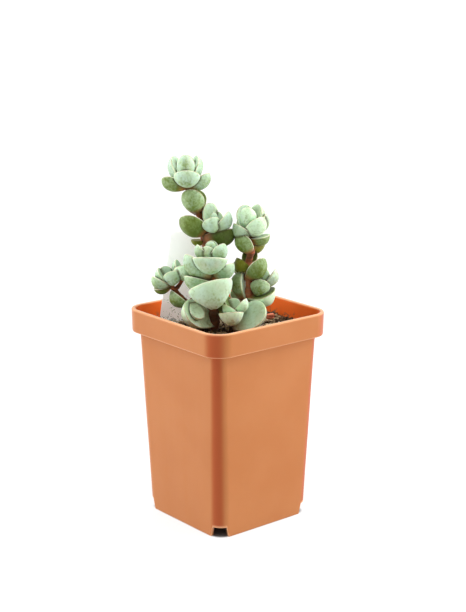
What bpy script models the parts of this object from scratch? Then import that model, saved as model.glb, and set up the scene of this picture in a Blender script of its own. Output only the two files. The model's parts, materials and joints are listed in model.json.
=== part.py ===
"""A small crassula in a tall square plastic pot, with its soil, a bare plant label and a chip of bark.

The pot stands on z = 0 with its sides along X and Y. The plant faces the pot's (+X, -Y) corner, so its
stems and leaves are laid out in a plant frame: x runs to the right as seen from that corner, y runs away
from it and z is up. Lengths are in millimetres, and each object's mesh is written in metres.
"""

import math
import random

import bmesh
import bpy
from mathutils import Matrix, Vector

MM = 0.001

# Pot: a thin moulded shell with a stepped collar, a raised floor and a notch at each foot corner.
POT_HEIGHT = 100.5
RIM_WIDTH = 70.0
RIM_RADIUS = 9.5
COLLAR_HEIGHT = 11.2
COLLAR_TAPER = 0.55
BODY_TOP_WIDTH = 62.2
BODY_BASE_WIDTH = 55.7
BODY_TOP_RADIUS = 5.8
BODY_BASE_RADIUS = 6.6
LIP_WALL = 1.9
WALL = 1.5
FLOOR_TOP = 7.2
FLOOR_THICKNESS = 1.6
NOTCH_HEIGHT = 5.0
NOTCH_TOP_WIDTH = 6.9
NOTCH_FOOT_WIDTH = 8.6
DRAIN_RADIUS = 3.0
DRAIN_SPACING = 13.0
CORNER_STEPS = 7

# Soil: fills the pot to a little below the rim, and rises a little where it meets the wall.
SOIL_TOP = 91.4
SOIL_GAP = 0.35
SOIL_RISE = 0.9
SOIL_BUMP = 0.45
SOIL_RINGS = 7
CRUMB_COUNT = 36
CRUMB_RADIUS = (0.8, 1.7)
CRUMB_SEED = 11

# Label: a bare tag that leans behind the stems, with its pointed foot pushed into the soil.
LABEL_WIDTH = 19.0
LABEL_THICKNESS = 0.8
LABEL_TOP = 135.8
LABEL_FOOT = 58.0
LABEL_POINT = 30.0
LABEL_CENTRE = (-16.3, 9.2)
LABEL_LEAN = math.radians(8.0)
LABEL_CORNER = 1.2

# Bark: a dry chip lying on the soil behind the right-hand stem.
CHIP_SIZE = (5.2, 3.6, 2.4)
CHIP_CENTRE = (20.0, 12.4)

# The plant frame is turned about Z from the pot's frame.
PLANT_TURN = math.radians(50.5)
STEM_FOOT = 78.0
STEM_SIDES = 8
HOLE_GAP = 0.5

# A leaf's outline and section, as shares of its length and width.
WIDEST = 0.58
BASE_SHARE = 0.40
LEAF_DEPTH = 0.50
LEAF_HANG = 1.4
LEAF_HANG = 1.4
LEAF_HANG = 1.4
LEAF_DOME = 0.09
LEAF_CURL = 0.06
LEAF_RINGS = 6
LEAF_SIDES = 10
SMALL_LEAF = 9.0

# Each shoot has stems, as routes with the radius at both ends, and leaves, lowest first. A leaf is
# (x, y, z of its node, turn, rise, length, width, roll), with angles in degrees. Turn 0 points to
# plant x, 90 away from the corner and -90 towards it. Rise is measured from level.
SHOOTS = {
    "shoot_tall": {
        "stems": [
            ([(-8, 3.5, STEM_FOOT), (-8.6, 3.5, 92), (-9.5, 3.5, 120), (-10.8, 3.5, 135), (-13, 3.5, 145),
              (-16.5, 3, 153), (-19, 2.5, 160)], 1.8, 1.2),
            ([(-10.6, 3.2, 133.6), (-8.4, 1.4, 136.4), (-6.6, -0.4, 139.4)], 1.3, 1.0),
        ],
        "leaves": [
            (-8.8, 3.6, 100, 14, 14, 10, 8, 0),
            (-9.2, 3.6, 111.5, 40, 18, 10.5, 8.0, 0),
            (-9.2, 3.4, 112.5, 174, 30, 7, 6.6, 0),
            (-9.4, 3.4, 121.5, 22, 24, 9.5, 7.2, 0),
            (-10.6, 3.3, 133.2, 168, 0, 8, 5.6, 0),
            (-10.8, 3.2, 134.4, -10, 10, 14.2, 12.4, -26),
            (-10.9, 3.5, 136.6, -152, 36, 15.0, 14.0, 0),
            (-10.9, 3.5, 138.2, 42, 50, 11, 9, 0),
            (-14.6, 3.3, 146.4, -110, 60, 12.8, 12.0, 0),
            (-14.0, 3.5, 146, 100, 52, 12.5, 10, 0),
            (-18.6, 2.7, 158.9, 180, 11, 12.8, 9.6, 20),
            (-18.4, 2.7, 158.8, 0, 26, 12.4, 9.6, -22),
            (-18.6, 1.6, 158.6, -92, 54, 10.4, 14.2, 0),
            (-18.6, 2.7, 158.8, 90, 50, 12.0, 12, 0),
            (-19, 2.5, 159.6, 152, 58, 15.0, 9.4, 0),
            (-19, 2.5, 159.6, 26, 62, 14.8, 9.0, 0),
            (-19, 2.5, 159.8, -92, 76, 15.0, 9.6, 0),
            (-19, 2.5, 159.8, 88, 79, 14.0, 8.6, 0),
            (-6.8, -0.4, 138.9, -98, 44, 9.4, 8.8, 22),
            (-6.5, -0.4, 138.8, -12, 47, 12.0, 10.0, 0),
            (-6.5, -0.4, 139.0, 128, 74, 12.8, 8.8, 0),
            (-6.5, -0.4, 138.8, 70, 58, 9.5, 8, 0),
            (-6.5, -0.6, 139.4, -60, 82, 8.0, 4.2, 0),
        ],
    },
    "shoot_front": {
        "stems": [
            ([(-5.5, -6, STEM_FOOT), (-5.8, -6, 92), (-6.5, -7, 105.5), (-7, -7.5, 118.5), (-7.3, -7, 128)], 2.3, 1.4),
        ],
        "leaves": [
            (-6.2, -6.2, 96.2, -154, 27, 18.4, 14.4, -46),
            (-17.6, -10.8, 105.2, -52, -18, 9.6, 7.6, 0),
            (-6.2, -6.4, 100, 58, 30, 6.6, 7, 0),
            (-6.9, -7, 110.6, -94, 27, 17, 20.4, 17),
            (-6.6, -7, 111.5, 84, 52, 12, 13, 0),
            (-6.9, -7.2, 115, 188, 12, 14, 10.6, 18),
            (-7, -7.4, 118.6, -174, 36, 16.4, 12.0, 24),
            (-7, -7.4, 119.4, -6, 24, 11.8, 10.6, -20),
            (-7.2, -7.0, 126.2, -94, 12, 13.0, 16.4, 0),
            (-7.2, -7.0, 125.8, 84, 22, 8.0, 11, 0),
            (-7.2, -7.6, 126.4, -98, 60, 8.4, 6.2, 0),
            (-6.8, -7.0, 127.0, -36, 50, 10.2, 9.0, 0),
            (-7.6, -7.0, 127.0, -158, 50, 9.4, 8.4, 0),
            (-7.3, -7, 127.8, 88, 68, 7.6, 7.0, 0),
            (-7.2, -7.2, 128.2, -80, 74, 7.4, 5.8, 0),
        ],
    },
    "shoot_left": {
        "stems": [
            ([(-13.5, 1.5, 80), (-13.8, 1.5, 91.5), (-15.6, 1.2, 98.8), (-19.0, 0.8, 103.4), (-24, 0, 109),
              (-27.2, -0.5, 113)], 1.2, 1.0),
            ([(-24.6, 0, 109.6), (-22.6, 1.6, 112), (-21.0, 2.6, 115)], 1.0, 0.8),
        ],
        "leaves": [
            (-18.4, 0.8, 103.2, -160, 26, 11.4, 10.0, 0),
            (-18.2, 1.0, 103, 24, 40, 6.0, 5, 0),
            (-26.8, -0.4, 112.0, 190, -12, 8.4, 6.6, 0),
            (-27.0, -0.5, 112.6, -152, 26, 10.4, 8.6, 0),
            (-27.1, -0.5, 112.8, -64, 40, 10.4, 9.6, 0),
            (-27.1, -0.5, 112.8, 120, 54, 9.5, 8, 0),
            (-27.2, -0.5, 113, 168, 50, 9.4, 7.6, 0),
            (-27.2, -0.5, 113, -10, 66, 9.2, 6.0, 0),
            (-21.0, 2.2, 114.2, -80, 46, 8.4, 8.0, 0),
            (-21.0, 2.6, 114.8, 170, 62, 9.2, 7.0, 0),
            (-21.0, 2.6, 114.8, 10, 70, 10.6, 7.2, 0),
        ],
    },
    "shoot_right": {
        "stems": [
            ([(6, 1.5, STEM_FOOT), (6, 1.5, 92.7), (8.8, 1.5, 106.8), (9.3, 1.5, 114.6), (9.8, 1.5, 121.9),
              (11.2, 1.5, 129.2), (10.4, 1.5, 136)], 1.7, 1.2),
            ([(8.8, 1.5, 106), (12.6, 1.5, 107.6), (16.8, 1, 111.6)], 1.3, 1.0),
        ],
        "leaves": [
            (8.0, 1.8, 103, 96, 20, 12.5, 12, 0),
            (8.9, 1.0, 105.4, 168, 80, 13.8, 13.0, 0),
            (9.8, 2.2, 106.8, -22, 10, 14.2, 13.2, 12),
            (16.2, 0.6, 107.2, -97, 58, 10.2, 9.2, 0),
            (16.8, 1, 111.8, -8, 50, 10.2, 8.4, 0),
            (16.8, 1, 111.4, 100, 52, 10, 8, 0),
            (16.8, 1, 111.6, 172, 68, 10, 8.0, 0),
            (10.2, 1.5, 115.8, -42, 50, 13, 11.2, 0),
            (9.6, 1.8, 115.6, 112, 34, 11.5, 10.6, 0),
            (9.8, 1.5, 119.8, 178, 44, 7.4, 8, 0),
            (9.8, 1.5, 121, 70, 58, 9, 8, 0),
            (10.6, 1.5, 128.6, -136, 52, 11.4, 10.2, 0),
            (10.8, 1.8, 127.6, 92, 30, 11, 10, 0),
            (11.0, 1.5, 131, 60, -8, 9, 9, 0),
            (11.0, 1.5, 134.5, -8, 7, 10.4, 8.8, 0),
            (11.0, 1.5, 136.4, -152, 30, 10.4, 10.0, 0),
            (11.0, 1.2, 136.8, -48, 42, 12.0, 11.2, 0),
            (10.4, 1.8, 135.4, 98, 40, 12, 11, 0),
            (10.4, 0.6, 138.8, -105, 70, 13.2, 8.8, 0),
            (10.2, 1.5, 136, 24, 58, 15.4, 10.6, 0),
            (10.2, 1.5, 136, -12, 48, 13.6, 8.8, 0),
            (10.2, 1.5, 136, 122, 68, 14.5, 9.6, 0),
            (10.2, 1.5, 136, 80, 82, 12.0, 7.0, 0),
        ],
    },
    "shoot_low": {
        "stems": [
            ([(4.4, -9.5, 84), (4.2, -9.4, 92), (3.8, -9.4, 96.5), (3.4, -9, 102.5)], 1.4, 1.1),
        ],
        "leaves": [
            (4.2, -9.6, 96.0, -5, 28, 16.8, 13.8, 44),
            (3.4, -9, 101.6, -100, 14, 11.0, 12.2, 0),
            (3.4, -9.4, 101.6, -140, 34, 7.6, 7.2, 0),
            (3.6, -9, 101.6, -28, 48, 9.2, 7.4, 0),
            (3.4, -9, 102, 100, 58, 6.6, 6.4, 0),
        ],
    },
}


def clear_scene():
    for obj in list(bpy.data.objects):
        bpy.data.objects.remove(obj)


def material(name, colour, roughness):
    """A plain Principled finish."""
    made = bpy.data.materials.new(name)
    made.use_nodes = True
    shader = made.node_tree.nodes["Principled BSDF"]
    shader.inputs["Base Color"].default_value = (*colour, 1)
    shader.inputs["Roughness"].default_value = roughness
    shader.inputs["Metallic"].default_value = 0
    made.diffuse_color = (*colour, 1)
    return made


def solid(name, points, faces, finish=None):
    """A linked mesh object from points in millimetres, with its faces turned outwards."""
    mesh = bpy.data.meshes.new(name)
    mesh.from_pydata([Vector(p) * MM for p in points], [], faces)
    shell = bmesh.new()
    shell.from_mesh(mesh)
    bmesh.ops.recalc_face_normals(shell, faces=shell.faces)
    shell.to_mesh(mesh)
    shell.free()
    if finish:
        mesh.materials.append(finish)
    obj = bpy.data.objects.new(name, mesh)
    bpy.context.scene.collection.objects.link(obj)
    return obj


def loft(name, rings, finish=None, closed=False):
    """A solid through rings of equal length. Its ends are capped, or joined to each other if closed."""
    count = len(rings[0])
    points = [p for ring in rings for p in ring]
    spans = len(rings) if closed else len(rings) - 1
    faces = []
    for i in range(spans):
        here = i * count
        there = (i + 1) % len(rings) * count
        faces += [(here + k, here + (k + 1) % count, there + (k + 1) % count, there + k) for k in range(count)]
    if not closed:
        faces.append(tuple(reversed(range(count))))
        faces.append(tuple(range(len(points) - count, len(points))))
    return solid(name, points, faces, finish)


def rounded_square(width, radius, z):
    """A level ring: four quarter arcs of the corner radius, each centred that far in from both sides."""
    reach = width / 2 - radius
    ring = []
    for corner in range(4):
        middle = math.radians(45 + 90 * corner)
        centre = (math.copysign(reach, math.cos(middle)), math.copysign(reach, math.sin(middle)))
        for step in range(CORNER_STEPS):
            angle = math.radians(90 * corner + 90 * step / (CORNER_STEPS - 1))
            ring.append((centre[0] + radius * math.cos(angle), centre[1] + radius * math.sin(angle), z))
    return ring


def body_width(z):
    """The pot's outer width below its collar."""
    share = z / (POT_HEIGHT - COLLAR_HEIGHT)
    return BODY_BASE_WIDTH + (BODY_TOP_WIDTH - BODY_BASE_WIDTH) * share


def body_radius(z):
    """The radius of the body's corners, a little rounder at the foot."""
    share = z / (POT_HEIGHT - COLLAR_HEIGHT)
    return BODY_BASE_RADIUS + (BODY_TOP_RADIUS - BODY_BASE_RADIUS) * share


def body_radius(z):
    """The radius of the body's corners, a little rounder at the foot."""
    share = z / (POT_HEIGHT - COLLAR_HEIGHT)
    return BODY_BASE_RADIUS + (BODY_TOP_RADIUS - BODY_BASE_RADIUS) * share


def body_radius(z):
    """The radius of the body's corners, a little rounder at the foot."""
    share = z / (POT_HEIGHT - COLLAR_HEIGHT)
    return BODY_BASE_RADIUS + (BODY_TOP_RADIUS - BODY_BASE_RADIUS) * share


def subtract(obj, cutters, solver="EXACT"):
    """Cuts the hidden cutters from the object for good, then removes them."""
    group = bpy.data.collections.new(obj.name + " cutters")
    bpy.context.scene.collection.children.link(group)
    for cutter in cutters:
        bpy.context.scene.collection.objects.unlink(cutter)
        group.objects.link(cutter)
    combine(obj, group, "DIFFERENCE", solver)


def unite(obj, pieces, solver="EXACT"):
    """Fuses the pieces into the object, then removes them."""
    group = bpy.data.collections.new(obj.name + " pieces")
    bpy.context.scene.collection.children.link(group)
    for piece in pieces:
        bpy.context.scene.collection.objects.unlink(piece)
        group.objects.link(piece)
    combine(obj, group, "UNION", solver)


def combine(obj, group, operation, solver):
    """Applies one Boolean with a whole collection, then removes the collection's objects."""
    cut = obj.modifiers.new("Combine", "BOOLEAN")
    cut.operation = operation
    cut.solver = solver
    cut.operand_type = "COLLECTION"
    cut.collection = group
    bpy.context.view_layer.update()
    graph = bpy.context.evaluated_depsgraph_get()
    made = bpy.data.meshes.new_from_object(obj.evaluated_get(graph))
    obj.modifiers.remove(cut)
    obj.data = made
    for piece in list(group.objects):
        bpy.data.objects.remove(piece)
    bpy.data.collections.remove(group)


def keep_largest(obj):
    """Drops loose scraps and welds points closer than a hundredth of a millimetre."""
    shell = bmesh.new()
    shell.from_mesh(obj.data)
    bmesh.ops.remove_doubles(shell, verts=shell.verts, dist=0.01 * MM)
    bmesh.ops.dissolve_degenerate(shell, edges=shell.edges, dist=0.01 * MM)
    islands = []
    left = set(shell.verts)
    while left:
        island = {left.pop()}
        front = list(island)
        while front:
            for edge in front.pop().link_edges:
                for vert in edge.verts:
                    if vert in left:
                        left.discard(vert)
                        island.add(vert)
                        front.append(vert)
        islands.append(island)
    islands.sort(key=len)
    bmesh.ops.delete(shell, geom=[v for island in islands[:-1] for v in island], context="VERTS")
    shell.to_mesh(obj.data)
    shell.free()


def make_pot(finish):
    step = POT_HEIGHT - COLLAR_HEIGHT
    outer = [
        rounded_square(BODY_BASE_WIDTH, BODY_BASE_RADIUS, 0),
        rounded_square(body_width(step), BODY_TOP_RADIUS, step),
        rounded_square(RIM_WIDTH - COLLAR_TAPER, RIM_RADIUS - 0.4, step),
        rounded_square(RIM_WIDTH, RIM_RADIUS, POT_HEIGHT - 0.4),
        rounded_square(RIM_WIDTH - 0.8, RIM_RADIUS - 0.4, POT_HEIGHT),
    ]
    inner = [
        rounded_square(RIM_WIDTH - 2 * LIP_WALL + 0.6, RIM_RADIUS - LIP_WALL + 0.3, POT_HEIGHT),
        rounded_square(RIM_WIDTH - 2 * LIP_WALL, RIM_RADIUS - LIP_WALL, POT_HEIGHT - 0.4),
        rounded_square(RIM_WIDTH - COLLAR_TAPER - 2 * WALL, RIM_RADIUS - WALL, step + 1.2),
        rounded_square(body_width(step) - 2 * WALL, BODY_TOP_RADIUS - WALL, step + 1.2),
        rounded_square(body_width(FLOOR_TOP) - 2 * WALL, body_radius(FLOOR_TOP) - WALL, FLOOR_TOP),
    ]
    pot = loft("pot", outer + inner, finish)
    under = FLOOR_TOP - FLOOR_THICKNESS
    skirt = loft("skirt", [
        rounded_square(body_width(-2) - 2 * WALL, BODY_BASE_RADIUS - WALL, -2),
        rounded_square(body_width(under) - 2 * WALL, body_radius(under) - WALL, under),
    ])
    cutters = [skirt]
    for corner in range(4):
        cutters.append(notch_cutter(corner))
    subtract(pot, cutters)
    subtract(pot, [drain_cutter(x, y) for x in (-DRAIN_SPACING, 0, DRAIN_SPACING)
                   for y in (-DRAIN_SPACING, 0, DRAIN_SPACING)])
    return pot


def notch_cutter(corner):
    """A prism along the foot's diagonal, wider at the ground, that opens one corner of the skirt."""
    turn = Matrix.Rotation(math.radians(45 + 90 * corner), 3, "Z")
    outline = [(-NOTCH_FOOT_WIDTH / 2 - 0.9, -2), (NOTCH_FOOT_WIDTH / 2 + 0.9, -2),
               (NOTCH_TOP_WIDTH / 2, NOTCH_HEIGHT), (-NOTCH_TOP_WIDTH / 2, NOTCH_HEIGHT)]
    rings = [[turn @ Vector((reach, y, z)) for y, z in outline] for reach in (26, 46)]
    return loft("notch", rings)


def drain_cutter(x, y):
    rings = []
    for z in (FLOOR_TOP - FLOOR_THICKNESS - 3, FLOOR_TOP + 3):
        rings.append([(x + DRAIN_RADIUS * math.cos(math.radians(a)), y + DRAIN_RADIUS * math.sin(math.radians(a)), z)
                      for a in range(0, 360, 24)])
    return loft("drain", rings)


def soil_height(x, y):
    """Gentle bumps from three crossed waves, dying out at the wall, where the soil rises instead."""
    inner = body_width(SOIL_TOP) / 2 - WALL
    edge = min(1, max(abs(x), abs(y)) / inner)
    waves = math.sin(0.31 * x + 0.8) * math.cos(0.27 * y) + 0.5 * math.sin(0.55 * x - 0.47 * y + 1.9)
    return SOIL_TOP + SOIL_BUMP * waves * (1 - edge ** 4) + SOIL_RISE * edge ** 6


def make_soil(finish, holes):
    step = POT_HEIGHT - COLLAR_HEIGHT
    ledge = step + 1.2 + SOIL_GAP
    inset = 2 * (WALL + SOIL_GAP)
    low = rounded_square(body_width(FLOOR_TOP) - inset, body_radius(FLOOR_TOP) - WALL - SOIL_GAP, FLOOR_TOP + SOIL_GAP)
    neck = rounded_square(body_width(step) - inset, BODY_TOP_RADIUS - WALL - SOIL_GAP, ledge)
    lip = rounded_square(RIM_WIDTH - COLLAR_TAPER - inset, RIM_RADIUS - WALL - SOIL_GAP, ledge)
    rings = [low, neck, lip]
    for ring in range(SOIL_RINGS):
        share = 1 - ring / SOIL_RINGS
        rings.append([(x * share, y * share, soil_height(x * share, y * share)) for x, y, z in lip])
    soil = loft("soil", rings, finish)
    unite(soil, [crumb for crumb in crumbs(lip)])
    subtract(soil, holes)
    keep_largest(soil)
    return soil


def crumbs(edge):
    """Small uneven lumps sunk into the soil's top, kept away from the stems' holes and the wall."""
    draw = random.Random(CRUMB_SEED)
    reach = max(x for x, y, z in edge) - 4.5
    turn = Matrix.Rotation(PLANT_TURN, 3, "Z")
    taken = [turn @ Vector((x, y, 0)) for x, y in stem_feet()] + [turn @ Vector((*CHIP_CENTRE, 0))]
    made = []
    while len(made) < CRUMB_COUNT:
        x = draw.uniform(-reach, reach)
        y = draw.uniform(-reach, reach)
        radius = draw.uniform(*CRUMB_RADIUS)
        place = Vector((x, y, 0))
        if any((place - spot).length < spare + radius for spot, spare in near(taken)):
            continue
        taken.append(place)
        made.append(crumb(draw, Vector((x, y, soil_height(x, y))), radius))
    return made


def near(taken):
    """Each taken spot with the room to leave around it."""
    return [(spot, 4.4 if i <= len(stem_feet()) else 1.2) for i, spot in enumerate(taken)]


def stem_feet():
    """Where each stem and the label enter the soil, in the plant frame."""
    feet = [shoot["stems"][0][0][1][:2] for shoot in SHOOTS.values()]
    slip = math.tan(LABEL_LEAN) * (LABEL_TOP - SOIL_TOP)
    across = [LABEL_CENTRE[0] - slip + LABEL_WIDTH * share for share in (-0.4, 0, 0.4)]
    return feet + [(x, LABEL_CENTRE[1]) for x in across]


def crumb(draw, centre, radius):
    shell = bmesh.new()
    bmesh.ops.create_icosphere(shell, subdivisions=1, radius=radius)
    for vert in shell.verts:
        vert.co *= draw.uniform(0.75, 1.2)
        vert.co.z *= 0.75
    points = [centre + vert.co for vert in shell.verts]
    faces = [tuple(vert.index for vert in face.verts) for face in shell.faces]
    shell.free()
    return solid("crumb", points, faces)


def label_outline(grow):
    """The tag's outline in its own plane: square top with clipped corners, and a pointed foot."""
    half = LABEL_WIDTH / 2 + grow
    top = LABEL_TOP + grow
    foot = LABEL_FOOT - grow
    return [(-half, foot + LABEL_POINT), (-1.2, foot), (1.2, foot), (half, foot + LABEL_POINT),
            (half, top - LABEL_CORNER), (half - LABEL_CORNER, top), (LABEL_CORNER - half, top),
            (-half, top - LABEL_CORNER)]


def label_plate(name, grow, finish=None):
    """The tag, or with grow the slot that it stands in: leaned about its top edge, in the pot's frame."""
    turn = Matrix.Rotation(PLANT_TURN, 3, "Z")
    rings = []
    for side in (-1, 1):
        y = LABEL_CENTRE[1] + side * (LABEL_THICKNESS / 2 + grow)
        ring = []
        for across, z in label_outline(grow):
            x = LABEL_CENTRE[0] + across - math.tan(LABEL_LEAN) * (LABEL_TOP - z)
            ring.append(turn @ Vector((x, y, z)))
        rings.append(ring)
    return loft(name, rings, finish)


def make_chip(finish):
    """An angular splinter: a box with its corners pushed in and out by hand."""
    length, depth, height = CHIP_SIZE
    turn = Matrix.Rotation(PLANT_TURN, 3, "Z")
    centre = turn @ Vector((*CHIP_CENTRE, 0))
    base = max(soil_height(centre.x + dx, centre.y + dy) for dx in (-3, 0, 3) for dy in (-3, 0, 3)) + 0.4
    foot = [(-0.5, -0.3), (0.3, -0.5), (0.5, 0.1), (0.1, 0.5), (-0.4, 0.3)]
    head = [(-0.42, -0.2), (0.2, -0.36), (0.44, 0.02), (0.0, 0.38), (-0.3, 0.2)]
    rings = []
    for outline, lift in ((foot, 0), (head, height)):
        ring = []
        for x, y in outline:
            slope = 0.35 * x * (lift > 0)
            ring.append(centre + turn @ Vector((x * length, y * depth, 0)) + Vector((0, 0, base + lift * (1 + slope))))
        rings.append(ring)
    return loft("bark_chip", rings, finish)


def spline(points, per_span):
    """Points along a Catmull-Rom curve through the given ones."""
    knots = [Vector(p) for p in points]
    knots = [2 * knots[0] - knots[1]] + knots + [2 * knots[-1] - knots[-2]]
    route = []
    for a, b, c, d in zip(knots, knots[1:], knots[2:], knots[3:]):
        for step in range(per_span):
            t = step / per_span
            route.append(0.5 * (2 * b + (c - a) * t + (2 * a - 5 * b + 4 * c - d) * t ** 2
                                + (3 * b - a - 3 * c + d) * t ** 3))
    return route + [knots[-2]]


def tube(name, route, start, end, turn, grow=0.0, lift=0.0, finish=None):
    """A tapering tube along the route, in the pot's frame."""
    rings = []
    last = len(route) - 1
    for i, centre in enumerate(route):
        along = (route[min(i + 1, last)] - route[max(i - 1, 0)]).normalized()
        side = Vector((1, 0, 0)).cross(along).normalized()
        other = along.cross(side)
        radius = start + (end - start) * i / last + grow
        rings.append([turn @ (centre + radius * (math.cos(a) * side + math.sin(a) * other) + Vector((0, 0, lift)))
                      for a in (2 * math.pi * k / STEM_SIDES for k in range(STEM_SIDES))])
    return loft(name, rings, finish)


def half_width(t):
    """The leaf's half width at share t of its length, as a share of the widest."""
    if t < WIDEST:
        return BASE_SHARE + (1 - BASE_SHARE) * math.sin(math.pi / 2 * t / WIDEST)
    return max(0, 1 - ((t - WIDEST) / (1 - WIDEST)) ** 2.3) ** 0.52


def leaf(place, turn_angle, rise, length, width, roll, frame):
    """A fleshy leaf: flat-topped, keeled below, with a crisp margin and a slight upward curl."""
    sides = LEAF_SIDES if length > SMALL_LEAF else LEAF_SIDES - 2
    ways = Matrix.Rotation(math.radians(turn_angle), 3, "Z") @ Matrix.Rotation(-math.radians(rise), 3, "Y")
    ways = frame @ ways @ Matrix.Rotation(math.radians(roll), 3, "X")
    root = frame @ Vector(place)
    # a leaf broader than it is long is thinner
    depth = LEAF_DEPTH * min(1, 1.2 * length / width) ** 3
    points = []
    for i in range(LEAF_RINGS):
        t = math.sin(math.pi / 2 * i / LEAF_RINGS) ** 1.2
        half = width / 2 * half_width(t)
        for k in range(sides):
            angle = 2 * math.pi * k / sides
            across = half * math.cos(angle)
            up = LEAF_DOME * half * math.sin(angle)
            if math.sin(angle) < 0:
                up = -2 * depth * half * abs(math.sin(angle)) ** LEAF_HANG
            points.append(root + ways @ Vector((length * t - 0.5, across, up + LEAF_CURL * length * t * t)))
    points.append(root + ways @ Vector((length - 0.5, 0, (LEAF_CURL - 0.02) * length)))
    faces = [tuple(reversed(range(sides)))]
    for i in range(LEAF_RINGS - 1):
        here = i * sides
        faces += [(here + k, here + (k + 1) % sides, here + sides + (k + 1) % sides, here + sides + k)
                  for k in range(sides)]
    tip = len(points) - 1
    faces += [(tip - sides + k, tip - sides + (k + 1) % sides, tip) for k in range(sides)]
    return solid("leaf", points, faces)


def make_shoot(name, shoot, finish):
    frame = Matrix.Rotation(PLANT_TURN, 3, "Z")
    stems = [tube(name if i == 0 else "branch", spline(route, 3), start, end, frame,
                  finish=finish if i == 0 else None)
             for i, (route, start, end) in enumerate(shoot["stems"])]
    leaves = [leaf(entry[:3], *entry[3:], frame) for entry in shoot["leaves"]]
    unite(stems[0], stems[1:] + leaves)
    keep_largest(stems[0])
    return stems[0]


def stem_hole(shoot):
    """A plain hole in the soil around a shoot's main stem."""
    frame = Matrix.Rotation(PLANT_TURN, 3, "Z")
    route, start, end = shoot["stems"][0]
    foot = Vector(route[0]) - Vector((0, 0, HOLE_GAP))
    collar = Vector(route[1])
    mouth = collar + (Vector(route[2]) - collar) * 0.45
    return tube("hole", [foot, (foot + collar) / 2, collar, mouth], start, start, frame, grow=HOLE_GAP)


def main():
    clear_scene()
    terracotta = material("terracotta plastic", (0.60, 0.26, 0.11), 0.45)
    earth = material("potting soil", (0.035, 0.022, 0.014), 0.95)
    tag = material("label plastic", (0.78, 0.80, 0.74), 0.45)
    bark = material("dry bark", (0.30, 0.11, 0.06), 0.9)
    flesh = material("crassula leaf", (0.30, 0.36, 0.22), 0.5)
    make_pot(terracotta)
    for name, shoot in SHOOTS.items():
        make_shoot(name, shoot, flesh)
    label_plate("label", 0, tag)
    holes = [stem_hole(shoot) for shoot in SHOOTS.values()] + [label_plate("slot", HOLE_GAP)]
    make_soil(earth, holes)
    make_chip(bark)


main()
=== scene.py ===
# A small crassula in a tall square nursery pot, dressed for a close studio picture.
# Lengths are in millimetres until makeMesh writes them in metres. The plant is laid out in its own
# frame: x to the right as the camera sees it, y away from the camera, z up.

import json
import math
import random

import bpy
import numpy as np
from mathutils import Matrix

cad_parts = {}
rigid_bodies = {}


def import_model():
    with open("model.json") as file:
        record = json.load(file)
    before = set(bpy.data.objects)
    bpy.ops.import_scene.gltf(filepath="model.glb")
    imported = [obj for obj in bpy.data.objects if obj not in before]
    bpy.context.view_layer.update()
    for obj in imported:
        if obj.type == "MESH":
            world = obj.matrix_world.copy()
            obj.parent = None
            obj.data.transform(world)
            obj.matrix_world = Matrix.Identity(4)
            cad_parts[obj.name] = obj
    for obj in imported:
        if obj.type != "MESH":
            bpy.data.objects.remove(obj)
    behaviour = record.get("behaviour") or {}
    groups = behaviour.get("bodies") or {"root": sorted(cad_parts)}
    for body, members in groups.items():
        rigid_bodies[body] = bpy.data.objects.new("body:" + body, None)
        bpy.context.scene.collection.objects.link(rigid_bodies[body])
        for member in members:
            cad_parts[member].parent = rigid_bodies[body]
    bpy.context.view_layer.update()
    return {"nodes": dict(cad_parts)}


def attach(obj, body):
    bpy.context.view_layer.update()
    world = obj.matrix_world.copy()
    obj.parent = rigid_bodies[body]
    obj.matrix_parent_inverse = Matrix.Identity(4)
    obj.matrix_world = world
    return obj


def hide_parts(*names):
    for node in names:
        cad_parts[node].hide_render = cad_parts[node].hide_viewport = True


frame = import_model()
print("frame loaded:", ", ".join(sorted(frame["nodes"])))

plantTurn = math.radians(50.5)


# mesh helpers

def makeMesh(name, points, quads, triangles=(), attributes=None, smooth=True):
    # points in mm; quads and triangles index them; attributes are floats for each point
    quads = np.asarray(quads, int).reshape(-1, 4)
    triangles = np.asarray(triangles, int).reshape(-1, 3)
    mesh = bpy.data.meshes.new(name)
    mesh.vertices.add(len(points))
    mesh.vertices.foreach_set("co", (np.asarray(points, float) * 0.001).ravel())
    mesh.loops.add(quads.size + triangles.size)
    mesh.loops.foreach_set("vertex_index", np.concatenate([quads.ravel(), triangles.ravel()]))
    mesh.polygons.add(len(quads) + len(triangles))
    starts = np.concatenate([np.arange(len(quads)) * 4, quads.size + np.arange(len(triangles)) * 3])
    mesh.polygons.foreach_set("loop_start", starts)
    mesh.update(calc_edges=True)
    mesh.polygons.foreach_set("use_smooth", [smooth] * len(mesh.polygons))
    for key, values in (attributes or {}).items():
        mesh.attributes.new(key, "FLOAT", "POINT").data.foreach_set("value", np.asarray(values, float))
    mesh.validate()
    obj = bpy.data.objects.new(name, mesh)
    bpy.context.scene.collection.objects.link(obj)
    return obj


def gridQuads(rows, columns):
    # quads between neighbouring rows of a grid whose columns close on themselves
    here = np.arange(rows - 1)[:, None] * columns + np.arange(columns)
    there = np.arange(rows - 1)[:, None] * columns + (np.arange(columns) + 1) % columns
    return np.stack([here, there, there + columns, here + columns], -1).reshape(-1, 4)


def poleTriangles(pole, ring, outward):
    # a fan from one pole to a closed ring
    following = np.roll(ring, -1)
    fan = [np.full(len(ring), pole), following, ring] if outward else [np.full(len(ring), pole), ring, following]
    return np.stack(fan, -1)


def closedTube(rings):
    # rings (n, m, 3) joined into one closed skin, with a pole in the middle of the first and last ring
    rows, columns = rings.shape[:2]
    points = np.concatenate([rings.reshape(-1, 3), rings[:1].mean(1), rings[-1:].mean(1)])
    first, last = np.arange(columns), np.arange(columns) + (rows - 1) * columns
    ends = [poleTriangles(len(points) - 2, first, True), poleTriangles(len(points) - 1, last, False)]
    return points, gridQuads(rows, columns), np.concatenate(ends)


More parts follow.
